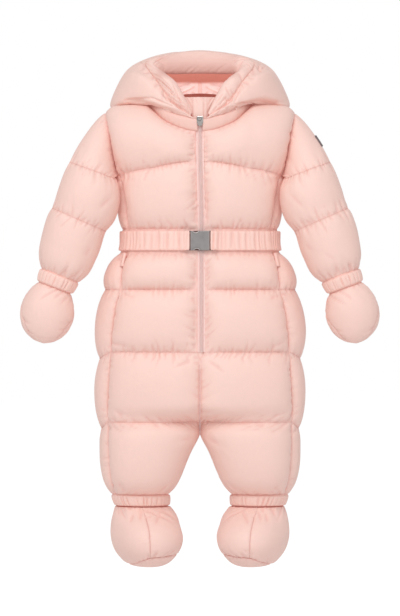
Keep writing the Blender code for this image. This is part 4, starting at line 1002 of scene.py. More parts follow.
padding = 1 - np.abs(2 * up**0.9 - 1) ** 2.4
arcAcross, arcUp = arcs(base, closed=True)
ringLength = float(arcAcross[:, -1].mean())
scaled = turns / fullTurn * ringLength * np.ones(base.shape[:2])
free = np.clip(arcUp[capRows, :count] / 0.03, 0.1, 1)  # folds have less room where the cap is short
front = base[..., 1] < cuffEnd["y"]
thin = np.clip(reach / 0.030, 0.5, 1)
inner = base - lean * (suit["wall"] * np.where(np.arange(len(base))[:, None] < capRows, thin, 1))[..., None]
turnedIn = top + unit(top - firstRing) * armholeTurn["reach"] - topLean * armholeTurn["depth"]
inner = np.concatenate([(turnedIn - topLean * armholeTurn["thick"])[None], inner])
arc = np.concatenate([arcAcross[:1], arcAcross]), np.concatenate([arcUp[:1] - armholeTurn["reach"], arcUp])
seamRows = (0, capRows, capRows + sleeveLook["rows"], len(base) - 1)
for side, sideName in leftRight:
    seed = 500 if side > 0 else 540
    lift = puffed * padding + lumps(base, seed, sleeveLook["lumps"]) * padding
    near = []
    for index, row in enumerate(seamRows):
        away = np.abs(arcUp - arcUp[row])[:, :count]
        near.append(away)
        spec = wristGather if index == 3 else sleeveGather
        depth = 0.45 if index == 0 else 1.0
        lift += gathers(scaled, away, seed + 10 + index, around=ringLength, **spec) * depth * free
    lift += drags(base, seed + 20, sleeveLook["drags"]) * padding
    lift += creased(base, sleeveCreases[side], side) * front * padding
    lift = np.maximum(lift + rolled(np.minimum(near[0], near[3])), deepest)
    outer = lifted(base, lean, lift)
    if side > 0:
        patchGround = outer
    paintedShade = seamTone(*near)
    dress(
        f"sleeve_{sideName}", np.concatenate([turnedIn[None], outer]), inner, arc,
        np.concatenate([paintedShade[:1], paintedShade]), 0.75, closed=True, rims=("bottom", "top"), side=side,
    )
    sewnAcross(outer, lean, seamRows[1:3], side)
print("sleeves made")


bandLook = {
    "lift": 0.0006, "tucked": -0.0023, "thick": 0.0034,
    "shares": np.concatenate([[-0.10], np.linspace(0.0, 1.0, 13), [1.10]]),
    "folds": {"spacing": 0.0062, "depth": 0.0017, "reach": 1.0, "width": 0.0009},
    "edge": {"spacing": 0.0060, "depth": 0.0006, "reach": 0.004, "width": 0.0010},
}
cuffSheet = {"flat": (0.0185, 0.185), "columns": 280}


def gatheredBand(node, first, last, seed, side):
    # An elastic casing: random ridges run from edge to edge, fullest half way between the edges.
    base = np.array([blend(first, last, share) for share in bandLook["shares"]])
    lean = ringNormals(base)
    across, up = arcs(base, closed=True)
    count = base.shape[1]
    length = float(across[:, -1].mean())
    along = np.arange(count) / count * length * np.ones(base.shape[:2])
    share = np.clip(bandLook["shares"], 0, 1)[:, None]
    edge = np.minimum(share, 1 - share) * up[-1, :count]
    folds = gathers(along, share * 0.002 + 0 * along, seed, around=length, **bandLook["folds"])
    deep = bandLook["folds"]["depth"]
    lift = bandLook["lift"] + (deep + folds) * (0.35 + 0.65 * np.sin(np.pi * share) ** 0.6)
    for index, away in enumerate(fromEnds((across, up[:, :count]))):
        lift += gathers(along, away, seed + 3 + index, around=length, **bandLook["edge"])
    lift += rolled(edge, width=0.0007)
    lift[0], lift[-1] = bandLook["tucked"], bandLook["tucked"]
    # Painted shade at the band's edges and in the troughs of its folds.
    paintedShade = np.maximum(seamTone(edge), np.clip(-folds / deep, 0, 1) * 0.40)
    return dress(
        node, lifted(base, lean, lift), base - lean * bandLook["thick"], (across, up), paintedShade, closed=True,
        rims=("bottom", "top"), side=side, materials=(elastic, lining),
    )


fine = roundTurns(cuffSheet["columns"])
end = ellipseRing(cuffEnd["inner"], cuffEnd["outer"], cuffEnd["halfDepth"], cuffEnd["y"], fine)
for side, sideName in leftRight:
    piece = gatheredBand(f"cuff_{sideName}", sleeveRing(2, fine), end, 600 + side, side)

mittenRows = (  # along, half width, half depth, shift of the seam
    (0, 0.0235, 0.0215, 0), (0.006, 0.0275, 0.0255, 0.0005), (0.018, 0.0330, 0.0300, 0.0010),
    (0.034, 0.0362, 0.0320, 0.0010), (0.050, 0.0340, 0.0290, 0.0005), (0.062, 0.0280, 0.0230, -0.0010),
    (0.070, 0.0195, 0.0160, -0.0025), (0.0750, 0.0100, 0.0085, -0.0035), (0.0775, 0, 0, -0.0040),
)
mittenLook = {
    "axis": (0.1300, -0.9915), "length": 0.0775, "forward": 0.60, "rows": 44, "columns": 44,
    "lumps": (6, 0.014, 0.0007),
}
mittenGather = {"spacing": 0.0058, "depth": 0.0020, "reach": 0.0110, "width": 0.0018}
mittenEdge = {"spacing": 0.0085, "depth": 0.0010, "reach": 0.0065, "width": 0.0018}
innerEnd, outerEnd = np.array(cuffEnd["inner"]), np.array(cuffEnd["outer"])
middle, half = (innerEnd + outerEnd) / 2, unit(outerEnd - innerEnd)
down = np.array([half[1], -half[0]])
tipShare = np.linspace(0, 1, mittenLook["rows"])
alongMitten = mittenLook["length"] * (1 - (1 - tipShare) ** 1.6)
bent = smooth(alongMitten, (0, 0.02, 0.05, mittenLook["length"]), (0.0, 0.35, 1.0, 1.0))[:, None]
ways = unit(blend(down, np.array(mittenLook["axis"]), bent))
middles = middle + np.concatenate([[[0, 0]], np.cumsum(ways[1:] * np.diff(alongMitten)[:, None], axis=0)])
square = np.stack([-ways[:, 1], ways[:, 0]], axis=1)
wide, deep, shift = (column(mittenRows, which, alongMitten)[:, None] for which in (1, 2, 3))
centreY = cuffEnd["y"] + shift
shares = np.linspace(0, 1, mittenLook["columns"])[None, :]


def beyondSeam(y, seamY, sign):
    # Keeps a mitten's back in front of the side seam, and its palm behind it.
    return np.minimum(y, seamY - seamClear) if sign < 0 else np.maximum(y, seamY + seamClear)


for side, sideName in leftRight:
    for index, (name, low, sign) in enumerate((("back", 0, -1), ("palm", math.pi, 1))):
        # Towards the tip the seam runs round on the front side, by a growing turn.
        forward = mittenLook["forward"] * softStep((alongMitten - 0.022) / 0.038)[:, None] * -sign
        turns = blend(low + forward, low + math.pi - forward, shares)
        seamY = centreY - np.sin(forward) * deep * -sign
        plan = middles[:, None, :] + np.cos(turns)[..., None] * square[:, None, :] * wide[..., None]
        base = stack(plan[..., 0], beyondSeam(centreY - np.sin(turns) * deep, seamY, sign), plan[..., 1])
        lean = gridNormals(base)
        if np.sum((base - base.mean(axis=(0, 1))) * lean) < 0:
            lean = -lean
        lean[-1] = np.array([ways[-1][0], 0, ways[-1][1]])
        lean[-2] = unit(lean[-3] + lean[-1])
        arc = arcs(base)
        seed = 640 + 10 * index + (0 if side > 0 else 25)
        edges = np.minimum(*fromSides(arc))
        tip = softStep(arc[1][-1:] / 0.02 - arc[1] / 0.02)
        lift = gathers(arc[0], arc[1], seed, **mittenGather)
        for part, away in enumerate(fromSides(arc)):
            lift += gathers(arc[1], away, seed + 3 + part, **mittenEdge) * tip
        lift += lumps(base, seed + 6, *mittenLook["lumps"]) * tip
        lift += rolled(np.minimum(edges, arc[1])) * np.clip(tip + 0.2, 0, 1)
        outer = lifted(base, lean, np.maximum(lift, deepest))
        inner = base - lean * suit["wall"] * np.clip(wide / 0.012, 0.3, 1)[..., None]
        inner[..., 1] = beyondSeam(inner[..., 1], seamY, sign)
        outer[-1], inner[-1] = outer[-1, :1], inner[-1, :1]
        dress(
            f"mitten_{name}_{sideName}", outer, inner, arc, seamTone(edges, arc[1]), 0.7,
            rims=("bottom", "left", "right"), side=side, merge=True,
        )
print("cuffs and mittens made")

# Ankle bands, bootees and soles.

footRows = (  # height, half width, half depth, x, y
    (-0.6220, 0.0000, 0.0000, 0.0715, -0.0185), (-0.6219, 0.0090, 0.0190, 0.0715, -0.0185),
    (-0.6212, 0.0160, 0.0300, 0.0715, -0.0185), (-0.6190, 0.0235, 0.0405, 0.0715, -0.0185),
    (-0.6150, 0.0305, 0.0485, 0.0715, -0.0185), (-0.6100, 0.0355, 0.0542, 0.0715, -0.0185),
    (-0.6040, 0.0405, 0.0590, 0.0715, -0.0188), (-0.5960, 0.0450, 0.0625, 0.0715, -0.0190),
    (-0.5820, 0.0482, 0.0630, 0.0720, -0.0180), (-0.5660, 0.0465, 0.0580, 0.0735, -0.0130),
    (-0.5520, 0.0430, 0.0480, 0.0748, -0.0060), (-0.5405, 0.0372, 0.0388, 0.0774, 0.0000),
)
ankleBand = (-0.5400, -0.5258)
footLook = {
    "rows": 46, "columns": 84, "soleRows": 18, "lumps": (7, 0.015, 0.0008), "soleCentre": -0.5900,
    # The sole's seam: its height, how much lower it runs outside, and its rise at the toe.
    "seam": -0.6112, "seamTilt": 0.0072, "toe": 0.0022,
}
footGather = {"spacing": 0.0056, "depth": 0.0027, "reach": 0.0115, "width": 0.0018}
toeGather = {"spacing": 0.0065, "depth": 0.0016, "reach": 0.0075, "width": 0.0016}
ankleSheet = {"flat": (0.0150, 0.290), "columns": 360}
footCreases = {
    1: (
        (0.056, -0.544, 0.066, -0.559, 0.0022, 0.0020), (0.078, -0.545, 0.084, -0.557, 0.0022, 0.0016),
        (0.060, -0.601, 0.066, -0.611, 0.0020, 0.0020), (0.074, -0.602, 0.070, -0.611, 0.0020, 0.0018),
        (0.038, -0.600, 0.050, -0.609, 0.0022, 0.0014), (0.088, -0.548, 0.094, -0.560, 0.0026, 0.0012),
    ),
    -1: (
        (-0.052, -0.544, -0.062, -0.560, 0.0024, 0.0018), (-0.079, -0.544, -0.082, -0.556, 0.0020, 0.0017),
        (-0.062, -0.600, -0.068, -0.611, 0.0020, 0.0021), (-0.075, -0.603, -0.071, -0.6115, 0.0020, 0.0016),
        (-0.040, -0.601, -0.052, -0.6095, 0.0022, 0.0015), (-0.090, -0.549, -0.097, -0.561, 0.0026, 0.0012),
    ),
}


def uprightRing(height, halfWidth, halfDepth, x, y, turns, squareness=2.0):
    # A level superellipse, turning from its front round the outside.
    across, forward = (power(part, 2 / squareness) for part in (np.sin(turns), np.cos(turns)))
    return stack(x + halfWidth * across, y - halfDepth * forward, height)


# The bootee's outline as one smooth curve from the middle of its sole up to the ankle.
footTable = np.array(footRows)
footStations = np.concatenate([[0], np.cumsum(np.hypot(*np.diff(footTable[:, :2], axis=0).T))])
footAt = np.linspace(0, footStations[-1], 400)
footCurve = smooth(footAt, footStations, footTable)
footCurve[:, :3] = np.maximum(footCurve[:, :3], (footTable[0, 0], 0, 0))


def footSurface(along, turns):
    along, turns = np.broadcast_arrays(along, turns)
    height, wide, deep, x, y = (np.interp(along, footAt, line) for line in footCurve.T)
    return uprightRing(height, wide, deep, x, y, turns), x


def drifted(points):
    # The seam over the instep runs inwards on its way down: the front of the foot is carried sideways.
    below, before = softStep((-0.5400 - points[..., 2]) / 0.035), softStep((-0.012 - points[..., 1]) / 0.045)
    return points - stack(0.0052 * below * before, 0, 0)


def soleSeam(turns):
    # How far along the curve the sole's seam lies, at each turn.
    toe = footLook["toe"] * np.clip(np.cos(turns), 0, 1) ** 12
    height = footLook["seam"] - footLook["seamTilt"] * np.sin(turns) + toe
    return np.interp(height, footCurve[:, 0] + np.arange(len(footAt)) * 1e-9, footAt)


fine = roundTurns(ankleSheet["columns"])
low, high = ankleBand
inner, outer, deep = (float(column(legRows, which, high)) for which in (1, 2, 3))
upper = uprightRing(high, (outer - inner) / 2, deep, (inner + outer) / 2, 0, fine, suit["legSquareness"])
_, wide, deep, x, y = footRows[-1]
lower = uprightRing(low, wide - 0.0014, deep - 0.0010, x + 0.0006, y, fine)
share = np.linspace(0, 1, footLook["rows"])[:, None]
soleShare = np.linspace(0, 1, footLook["soleRows"])[:, None]
soleCentre = np.array([footRows[0][3], footRows[0][4], footLook["soleCentre"]])
for side, sideName in leftRight:
    piece = gatheredBand(f"ankle_band_{sideName}", lower, upper, 700 + side, side)
    for index, (name, low, sign) in enumerate((("outer", 0, 1), ("inner", math.pi, -1))):
        turns = np.linspace(low, low + math.pi, footLook["columns"])[None, :]
        base, x = footSurface(blend(soleSeam(turns), footAt[-1], share), turns)
        away = np.maximum(np.abs(base[..., 0] - x), seamClear) * sign
        base = stack(x + away, base[..., 1], base[..., 2])
        lean = gridNormals(base)
        arc = arcs(base)
        seed = 720 + 10 * index + (0 if side > 0 else 25)
        fromLow, fromTop = fromEnds(arc)
        edges = np.minimum(*fromSides(arc))
        seamShown = softStep((base[..., 2] + 0.6050) / 0.008) * softStep((-0.5460 - base[..., 2]) / 0.008)
        lift = gathers(arc[0], fromTop, seed, **footGather) + gathers(arc[0], fromLow, seed + 1, **toeGather)
        for part, seamAway in enumerate(fromSides(arc)):
            lift += gathers(arc[1], seamAway, seed + 3 + part, **toeGather) * 0.4
        lift += lumps(base, seed + 6, *footLook["lumps"])
        lift += creased(base, footCreases[side], side) * (base[..., 1] < -0.02)
        lift += np.minimum(rolled(np.minimum(fromTop, fromLow)), rolled(edges, width=0.0014) * seamShown)
        outer, inner = lifted(base, lean, np.maximum(lift, deepest)), base - lean * suit["wall"]
        for grid in (outer, inner):
            grid[..., 0] = x + np.maximum((grid[..., 0] - x) * sign, seamClear) * sign
        paintedShade = np.maximum(seamTone(fromTop, fromLow), seamTone(edges) * seamShown)
        dress(f"bootee_{name}_{sideName}", drifted(outer), drifted(inner), arc, paintedShade, 0.7, side=side)

    count = 2 * footLook["columns"]
    turns = roundTurns(count)[None, :]
    base, _ = footSurface(soleSeam(turns) * soleShare, turns)
    arc = arcs(base, closed=True)
    lean = unit(base - soleCentre)
    fromTop = fromEnds(arc)[1][:, :count]
    lift = gathers(arc[0][-1:, :count], fromTop, 790 + side, **toeGather) + rolled(fromTop)
    outer = drifted(lifted(base, lean, lift * softStep(soleShare * 2 - 0.6)))
    dress(
        f"sole_{sideName}", outer, drifted(base - lean * suit["wall"]), arc, seamTone(fromTop), 0.6,
        closed=True, rims=("top",), side=side, merge=True,
    )
print("bootees made")

# Collar, hood and brim.

collarRows = (  # round, height, forward
    (0, 0.0170, -0.0005), (0.20, 0.0160, 0), (0.36, 0.0125, 0), (0.5, 0.0070, 0), (0.75, 0.0060, 0),
    (1, 0.0060, 0),
)
hoodRound = (0, 0.18, 0.34, 0.50, 0.75, 1)
hoodLines = {
    "low": (
        (0.0098, -0.0632, -0.0198), (0.0400, -0.0605, -0.0085), (0.0740, -0.0360, 0.0030),
        (0.1060, 0.0040, -0.0028), (0.0740, 0.0640, -0.0030), (0, 0.0900, -0.0060),
    ),
    "wide": (
        (0.0108, -0.0638, -0.0187), (0.0440, -0.0635, -0.0030), (0.0880, -0.0360, 0.0110),
        (0.1195, 0.0100, 0.0020), (0.0960, 0.0880, 0.0180), (0, 0.1270, 0.0260),
    ),
    "high": (
        (0.0117, -0.0636, -0.0176), (0.0425, -0.0630, 0.0025), (0.0840, -0.0360, 0.0380),
        (0.1010, 0.0140, 0.0440), (0.0700, 0.0700, 0.0640), (0, 0.0880, 0.0740),
    ),
    "brimSeam": (
        (0.0125, -0.0628, -0.0164), (0.0375, -0.0590, 0.0020), (0.0570, -0.0460, 0.0300),
        (0.0735, -0.0160, 0.0550), (0.0420, 0.0020, 0.0690), (0, 0.0070, 0.0740),
    ),
    "brimEdge": (
        (0.0112, -0.0600, -0.0115), (0.0205, -0.0560, 0.0090), (0.0330, -0.0470, 0.0300),
        (0.0535, -0.0250, 0.0410), (0.0300, -0.0100, 0.0425), (0, -0.0070, 0.0430),
    ),
}
hoodLook = {
    "columns": 160, "rows": 98, "brimRows": 26, "crownShare": 14 / 16, "padding": 0.0040, "brimPuff": 0.0065,
    "lumps": 14, "drags": 8, "collarRows": 10,
    # The lining's padded roll behind the neck: its height, half height and how far it stands in.
    "roll": (0.0216, 0.0140, 0.0150),
}
collarGather = {"spacing": 0.0090, "depth": 0.0006, "reach": 0.0080, "width": 0.0022}
rollGather = {"spacing": 0.0080, "depth": 0.0034, "reach": 0.0090, "width": 0.0020}
brimEdge = {"spacing": 0.0080, "depth": 0.0012, "reach": 0.0060, "width": 0.0020}
hoodGather = {"spacing": 0.0085, "depth": 0.0016, "reach": 0.0120, "width": 0.0024}
brimGather = {"spacing": 0.0052, "depth": 0.0028, "reach": 0.0090, "width": 0.0017}
hoodCreases = {
    1: (
        (0.066, 0.056, 0.064, 0.045, 0.0016, 0.0026), (0.071, 0.057, 0.072, 0.042, 0.0018, 0.0024),
        (0.080, 0.054, 0.081, 0.044, 0.0016, 0.0026), (0.087, 0.052, 0.082, 0.046, 0.0014, 0.0015),
        (0.050, 0.014, 0.046, -0.002, 0.0016, 0.0018), (0.048, -0.002, 0.070, 0.000, 0.0016, 0.0022),
        (0.070, 0.000, 0.081, -0.0035, 0.0014, 0.0020), (0.081, 0.002, 0.115, 0.003, 0.0026, 0.0014),
        (0.058, -0.005, 0.078, -0.007, 0.0014, 0.0016), (0.056, 0.032, 0.052, 0.018, 0.0020, 0.0014),
        (0.034, -0.002, 0.022, -0.016, 0.0013, 0.0018),
        (0.078, -0.0010, 0.116, -0.0005, 0.0034, -0.0022), (0.060, -0.0042, 0.078, -0.0045, 0.0024, -0.0012),
    ),
    -1: (
        (-0.069, 0.057, -0.063, 0.046, 0.0016, 0.0028), (-0.075, 0.057, -0.068, 0.049, 0.0015, 0.0020),
        (-0.082, 0.060, -0.071, 0.050, 0.0018, 0.0015), (-0.101, 0.0055, -0.0645, 0.007, 0.0016, 0.0024),
        (-0.0645, 0.007, -0.045, -0.002, 0.0016, 0.0024), (-0.045, -0.002, -0.036, -0.005, 0.0016, 0.0020),
        (-0.095, 0.001, -0.079, -0.003, 0.0015, 0.0026), (-0.079, -0.003, -0.065, -0.003, 0.0014, 0.0022),
        (-0.065, -0.003, -0.057, -0.009, 0.0014, 0.0022), (-0.057, -0.009, -0.038, -0.015, 0.0015, 0.0022),
        (-0.047, 0.020, -0.044, 0.003, 0.0014, 0.0020), (-0.042, 0.014, -0.036, 0.000, 0.0013, 0.0018),
        (-0.054, 0.029, -0.047, 0.016, 0.0016, 0.0018),
        (-0.104, 0.0020, -0.066, 0.0025, 0.0036, -0.0024), (-0.066, 0.0020, -0.044, -0.0060, 0.0026, -0.0014),
    ),
}
hoodRollCreases = (
    (0.000, 0.036, 0.001, 0.018, 0.0012, 0.0030), (-0.022, 0.031, -0.006, 0.025, 0.0016, 0.0034),
    (0.008, 0.030, 0.028, 0.021, 0.0015, 0.0030), (-0.030, 0.022, -0.010, 0.017, 0.0015, 0.0028),
    (0.016, 0.034, 0.040, 0.031, 0.0014, 0.0024),
)
brimCreases = (
    (-0.040, 0.016, -0.034, 0.002, 0.0013, 0.0018), (-0.036, 0.024, -0.029, 0.006, 0.0012, 0.0014),
    (-0.030, 0.008, -0.022, -0.008, 0.0012, 0.0018), (-0.026, -0.003, -0.017, -0.016, 0.0012, 0.0016),
    (-0.064, 0.050, -0.052, 0.043, 0.0016, 0.0022), (-0.060, 0.058, -0.048, 0.050, 0.0018, 0.0016),
    (0.034, 0.019, 0.041, 0.007, 0.0014, 0.0022), (0.036, 0.008, 0.026, -0.004, 0.0013, 0.0020),
    (0.030, 0.010, 0.020, -0.004, 0.0013, 0.0018), (0.026, -0.002, 0.016, -0.013, 0.0012, 0.0016),
    (0.052, 0.046, 0.060, 0.056, 0.0018, 0.0020), (0.047, 0.052, 0.052, 0.062, 0.0018, 0.0014),
    (0.010, 0.064, -0.030, 0.062, 0.0040, 0.0008), (0.034, 0.060, -0.004, 0.057, 0.0034, 0.0007),
)
rounds = np.linspace(0, 1, hoodLook["columns"] + 1)
coarseRound = np.array((0, 0.125, 0.25, 0.375, 0.5))
coarseStep = np.array((0, 0.08, 0.25, 0.42, 0.58))


def neckAt(rounds):
    # The neck's edge, from the zip round to the centre back, off the edges of the front and back panels.
    frontShare = np.interp(rounds, coarseRound, coarseStep)
    backShare = 1 - np.interp(1 - rounds, coarseRound, coarseStep)
    parts = []
    for part in (0, 1):
        front = readAlong(frontShare, steps, neckEdge["front"][part])
        back = readAlong(backShare, 1 - steps[::-1], neckEdge["back"][part])
        parts.append(np.where((rounds <= 0.5)[:, None], front, back))
    return parts[0], unit(parts[1])


coarse = np.linspace(0, 1, 9)
neck, neckLean = neckAt(rounds)
coarseNeck, _ = neckAt(coarse)
collarLift = stack(0, column(collarRows, 2, coarse), column(collarRows, 1, coarse))
collarTop = smooth(rounds, coarse, coarseNeck + collarLift)
# Each line is carried on over the middle plane, so that it crosses it squarely.
beyond = hoodRound + (2 - hoodRound[-2],)
lines = {
    name: smooth(rounds, beyond, line + ((-line[-2][0], *line[-2][1:]),)) for name, line in hoodLines.items()
}
knots = np.array([collarTop, lines["low"], lines["wide"], lines["high"], lines["brimSeam"]])
hood = smooth(np.linspace(0, 4, hoodLook["rows"] + 1), np.arange(5), knots)
brimShares = np.linspace(0, 1, hoodLook["brimRows"] + 1)
brim = np.array([blend(lines["brimSeam"], lines["brimEdge"], share) for share in brimShares])
collarShares = np.linspace(0, 1, hoodLook["collarRows"])
collar = np.array([blend(neck, collarTop, share) for share in collarShares])


def middleLean(grid):
    lean = gridNormals(grid)
    lean[:, -1] = unit(lean[:, -1] * (0, 1, 1))
    return lean


collarLean, hoodLean, brimLean = middleLean(collar), middleLean(hood), middleLean(brim)
shared = unit(collarLean[-1] + hoodLean[0])
collarLean[0], collarLean[-1], hoodLean[0] = neckLean, shared, shared
shared = unit(hoodLean[-1] + brimLean[0])
hoodLean[-1], brimLean[0] = shared, shared
length = np.linalg.norm(np.diff(hood, axis=0), axis=-1).sum(axis=0)
hoodUp = np.linspace(0, 1, hoodLook["rows"] + 1)[:, None]
padding = hoodLook["padding"] * np.clip((length - 0.045) / 0.060, 0, 1)
hoodDepth = suit["wall"] * np.clip(length / 0.040, 0.45, 1) + padding * (1 - np.abs(2 * hoodUp - 1) ** 2.2)
rollAt, rollHalf, rollDepth = hoodLook["roll"]
behind = softStep((rounds - 0.42) / 0.16)
lined = lifted(hood, hoodLean, -hoodDepth)
plump = rollDepth * (0.90 + 0.10 * np.cos(lined[..., 0] / 0.0085) - 0.22 * bell(lined[..., 0] / 0.0022))
fromRoll = lined[..., 2] - rollAt + 0.0016 * np.cos(lined[..., 0] / 0.0062 + 0.6)
plump = plump * bell(fromRoll / rollHalf) ** 0.6 * behind
away = np.abs(fromRoll + 0.75 * rollHalf)
plump += gathers(arcs(hood)[0], away, 870, **rollGather) * behind
plump += creased(lined, hoodRollCreases) * behind
lined += unit(-hoodLean * (1, 1, 0)) * plump[..., None]
crown = int(round(hoodLook["crownShare"] * hoodLook["columns"]))
collarArc, hoodArc = arcs(collar), arcs(hood)
narrow = np.clip(length / 0.050, 0.12, 1)
for side, sideName in leftRight:
    seed = 800 if side > 0 else 860
    fromLow, fromTop = fromEnds(collarArc)
    lift = 0.0012 * np.sin(np.pi * collarShares)[:, None] * np.ones(len(rounds))
    lift += gathers(collarArc[0], fromLow, seed, **collarGather)
    lift += rolled(np.minimum.reduce([collarArc[0], fromLow, fromTop])) * 0.8
    outer, inner = lifted(collar, collarLean, lift), collar - collarLean * suit["wall"] * 0.8
    keepLeft(outer, inner)
    dress(
        f"collar_{sideName}", outer, inner, collarArc, seamTone(fromLow, fromTop), 0.5, side=side,
        materials=(collarShadeShell, lining),
    )

    part = slice(0, crown + 1)
    grid, lean = hood[:, part], hoodLean[:, part]
    across, up = arc = hoodArc[0][:, part], hoodArc[1][:, part]
    fromTop, fromCrown = fromEnds(arc)[1], fromSides(arc)[1]
    lift = gathers(across, fromTop, seed + 2, **brimGather) * narrow[part]
    lift += gathers(across, up, seed + 3, **hoodGather) * narrow[part]
    lift += gathers(up, fromCrown, seed + 4, **hoodGather)
    uneven = lumps(grid, seed + 5, hoodLook["lumps"]) + drags(grid, seed + 6, hoodLook["drags"])
    lift += uneven * narrow[part]
    lift += creased(grid, hoodCreases[side], side) * (grid[..., 1] < 0.010)
    lift += rolled(np.minimum.reduce([across, up, fromTop, fromCrown])) * narrow[part]
    lift = np.maximum(lift, -0.8 * hoodDepth[:, part])
    dress(
        f"hood_side_{sideName}", lifted(grid, lean, lift), lined[:, part], arc,
        seamTone(up, fromTop, fromCrown), 0.7, side=side, materials=(shell, hoodLining),
    )

across, up = hoodArc[0][:, crown:] - hoodArc[0][:, crown : crown + 1], hoodArc[1][:, crown:]
fromTop = up[-1:] - up
lift = gathers(up, across, 931, **hoodGather) + gathers(across, fromTop, 932, **brimGather)
lift += rolled(np.minimum.reduce([across, up, fromTop]))
outer = bothSides(lifted(hood[:, crown:], hoodLean[:, crown:], lift))
dress(
    "hood_crown", outer, bothSides(lined[:, crown:]), bothArcs(across, up),
    bothHalves(seamTone(across, up, fromTop)), 0.7, materials=(shell, hoodLining),
)

width = np.linalg.norm(brim[-1] - brim[0], axis=-1)
slim = bothHalves(np.clip(width / 0.020, 0.3, 1)[None])
fullBrim, fullLean = bothSides(brim), bothSides(brimLean)
across, up = arc = arcs(fullBrim)
fromTop = fromEnds(arc)[1]
lift = hoodLook["brimPuff"] * np.sin(np.pi * brimShares)[:, None] ** 0.8 * slim
overHead = softStep((fullBrim[..., 2] - 0.046) / 0.012) * softStep((0.060 - np.abs(fullBrim[..., 0])) / 0.020)
lift += gathers(across, up, 940, **brimGather) * slim * (1 - 0.85 * overHead)
lift += gathers(across, fromTop, 941, **brimEdge) * slim * (1 - 0.60 * overHead)
lift += creased(fullBrim, brimCreases) + rolled(np.minimum(up, fromTop)) * slim
outer, inner = lifted(fullBrim, fullLean, lift), lifted(fullBrim, fullLean, -suit["wall"] * slim)
dress("hood_brim", outer, inner, arc, seamTone(up, fromTop), 0.7, materials=(brimShell, hoodLining))
print("collar and hood made")

# Belt.

beltLook = {
    "columns": 640, "rows": 17, "start": 0.0140, "thick": 0.0036, "thinnest": 0.0008,
    "folds": {"spacing": 0.0062, "depth": 0.0018, "reach": 1.0, "width": 0.0017},
    "edge": {"spacing": 0.0060, "depth": 0.0008, "reach": 0.0050, "width": 0.0014},
    "flat": (0.027, 0.66),
}
start = float(turnWhere(beltLook["start"], np.array(suit["waist"])))
dense = np.linspace(start, math.pi, 3000)
length = lengthsAlong(bodySurface(dense, suit["waist"]))
turns = np.interp(np.linspace(0, length[-1], beltLook["columns"] // 2 + 1), length, dense)[None, :]
share = np.linspace(0, 1, beltLook["rows"])[:, None]
base, lean = bodyGrid(turns, suit["waist"] + (share - 0.5) * (suit["beltWidth"] - 0.0004))
base[:, -1, 0] = 0
lean[:, -1] = (0, 1, 0)
nearBuckle = np.clip((0.0280 - base[..., 0]) / 0.0100, 0, 1) * (base[..., 1] < 0)
standOff = bothHalves(0.0006 + 0.0040 * softStep(nearBuckle))
base, lean = bothSides(base), bothSides(lean)
across, up = arcs(base)
across = across.mean(axis=0) + 0 * across
fromLow, fromTop = fromEnds((across, up))
edge = np.minimum(fromLow, fromTop)
folds = gathers(across, share * 0.004 + 0 * across, 1000, **beltLook["folds"])
lift = beltLook["thick"] + folds * (0.45 + 0.55 * np.sin(np.pi * share) ** 0.5)
for index, away in enumerate((fromLow, fromTop)):
    lift += gathers(across, away, 1001 + index, **beltLook["edge"])
lift = np.maximum(lift + rolled(edge, width=0.0008) * 0.8, beltLook["thinnest"])
# Painted shade at the belt's edges and in the troughs of its folds.
paintedShade = np.maximum(seamTone(edge), np.clip(-folds / beltLook["folds"]["depth"], 0, 1) * 0.45)
outer, inner = lifted(base, lean, standOff + lift), lifted(base, lean, standOff)
piece = dress("belt", outer, inner, (across, up), paintedShade, materials=(elastic, elastic))
print("belt made")

# Zip, wind guard, welts and patch.


neckSeam = {"height": -0.0385, "reach": 0.018, "y": -0.0610}


def zipDepth(z):
    # y of the front's middle line, up over the neck seam to the collar.
    body = bodySurface(0.0, np.minimum(z, neckSeam["height"]))[..., 1]
    over = blend(body, neckSeam["y"], np.clip((z - neckSeam["height"]) / neckSeam["reach"], 0, 1))
    return np.where(z > neckSeam["height"], over, body)


def zipMiddle(z):
    # The zip wanders a little to the wearer's left under the chest.
    return 0.0018 * lowShare(z)


zipLook = {
    "pitch": 0.0016, "proud": 0.0004, "tapeHalf": 0.00505, "tapeTop": -0.0200, "tapeThick": 0.0008,
    "behind": 0.0012, "coreHalf": 0.0022, "coreEase": 0.0004, "coreThick": 0.0006, "columns": 19,
    "lastTooth": -0.0275, "stagger": 0.00085, "toothLength": 0.0026, "toothThick": 0.0011,
}
length = zipLook["tapeTop"] - suit["zipEnd"]
rows = int(length / suit["mesh"])
z = np.linspace(suit["zipEnd"], zipLook["tapeTop"], rows)[:, None]
x = np.linspace(-zipLook["tapeHalf"], zipLook["tapeHalf"], zipLook["columns"])[None, :]
core = softStep((zipLook["coreHalf"] + zipLook["coreEase"] - np.abs(x)) / zipLook["coreEase"])
tapeX, tapeY = x + zipMiddle(z), zipDepth(z) + zipLook["behind"]
outer = stack(tapeX, tapeY - core * zipLook["coreThick"], z)
inner = stack(tapeX, tapeY + zipLook["tapeThick"], z)
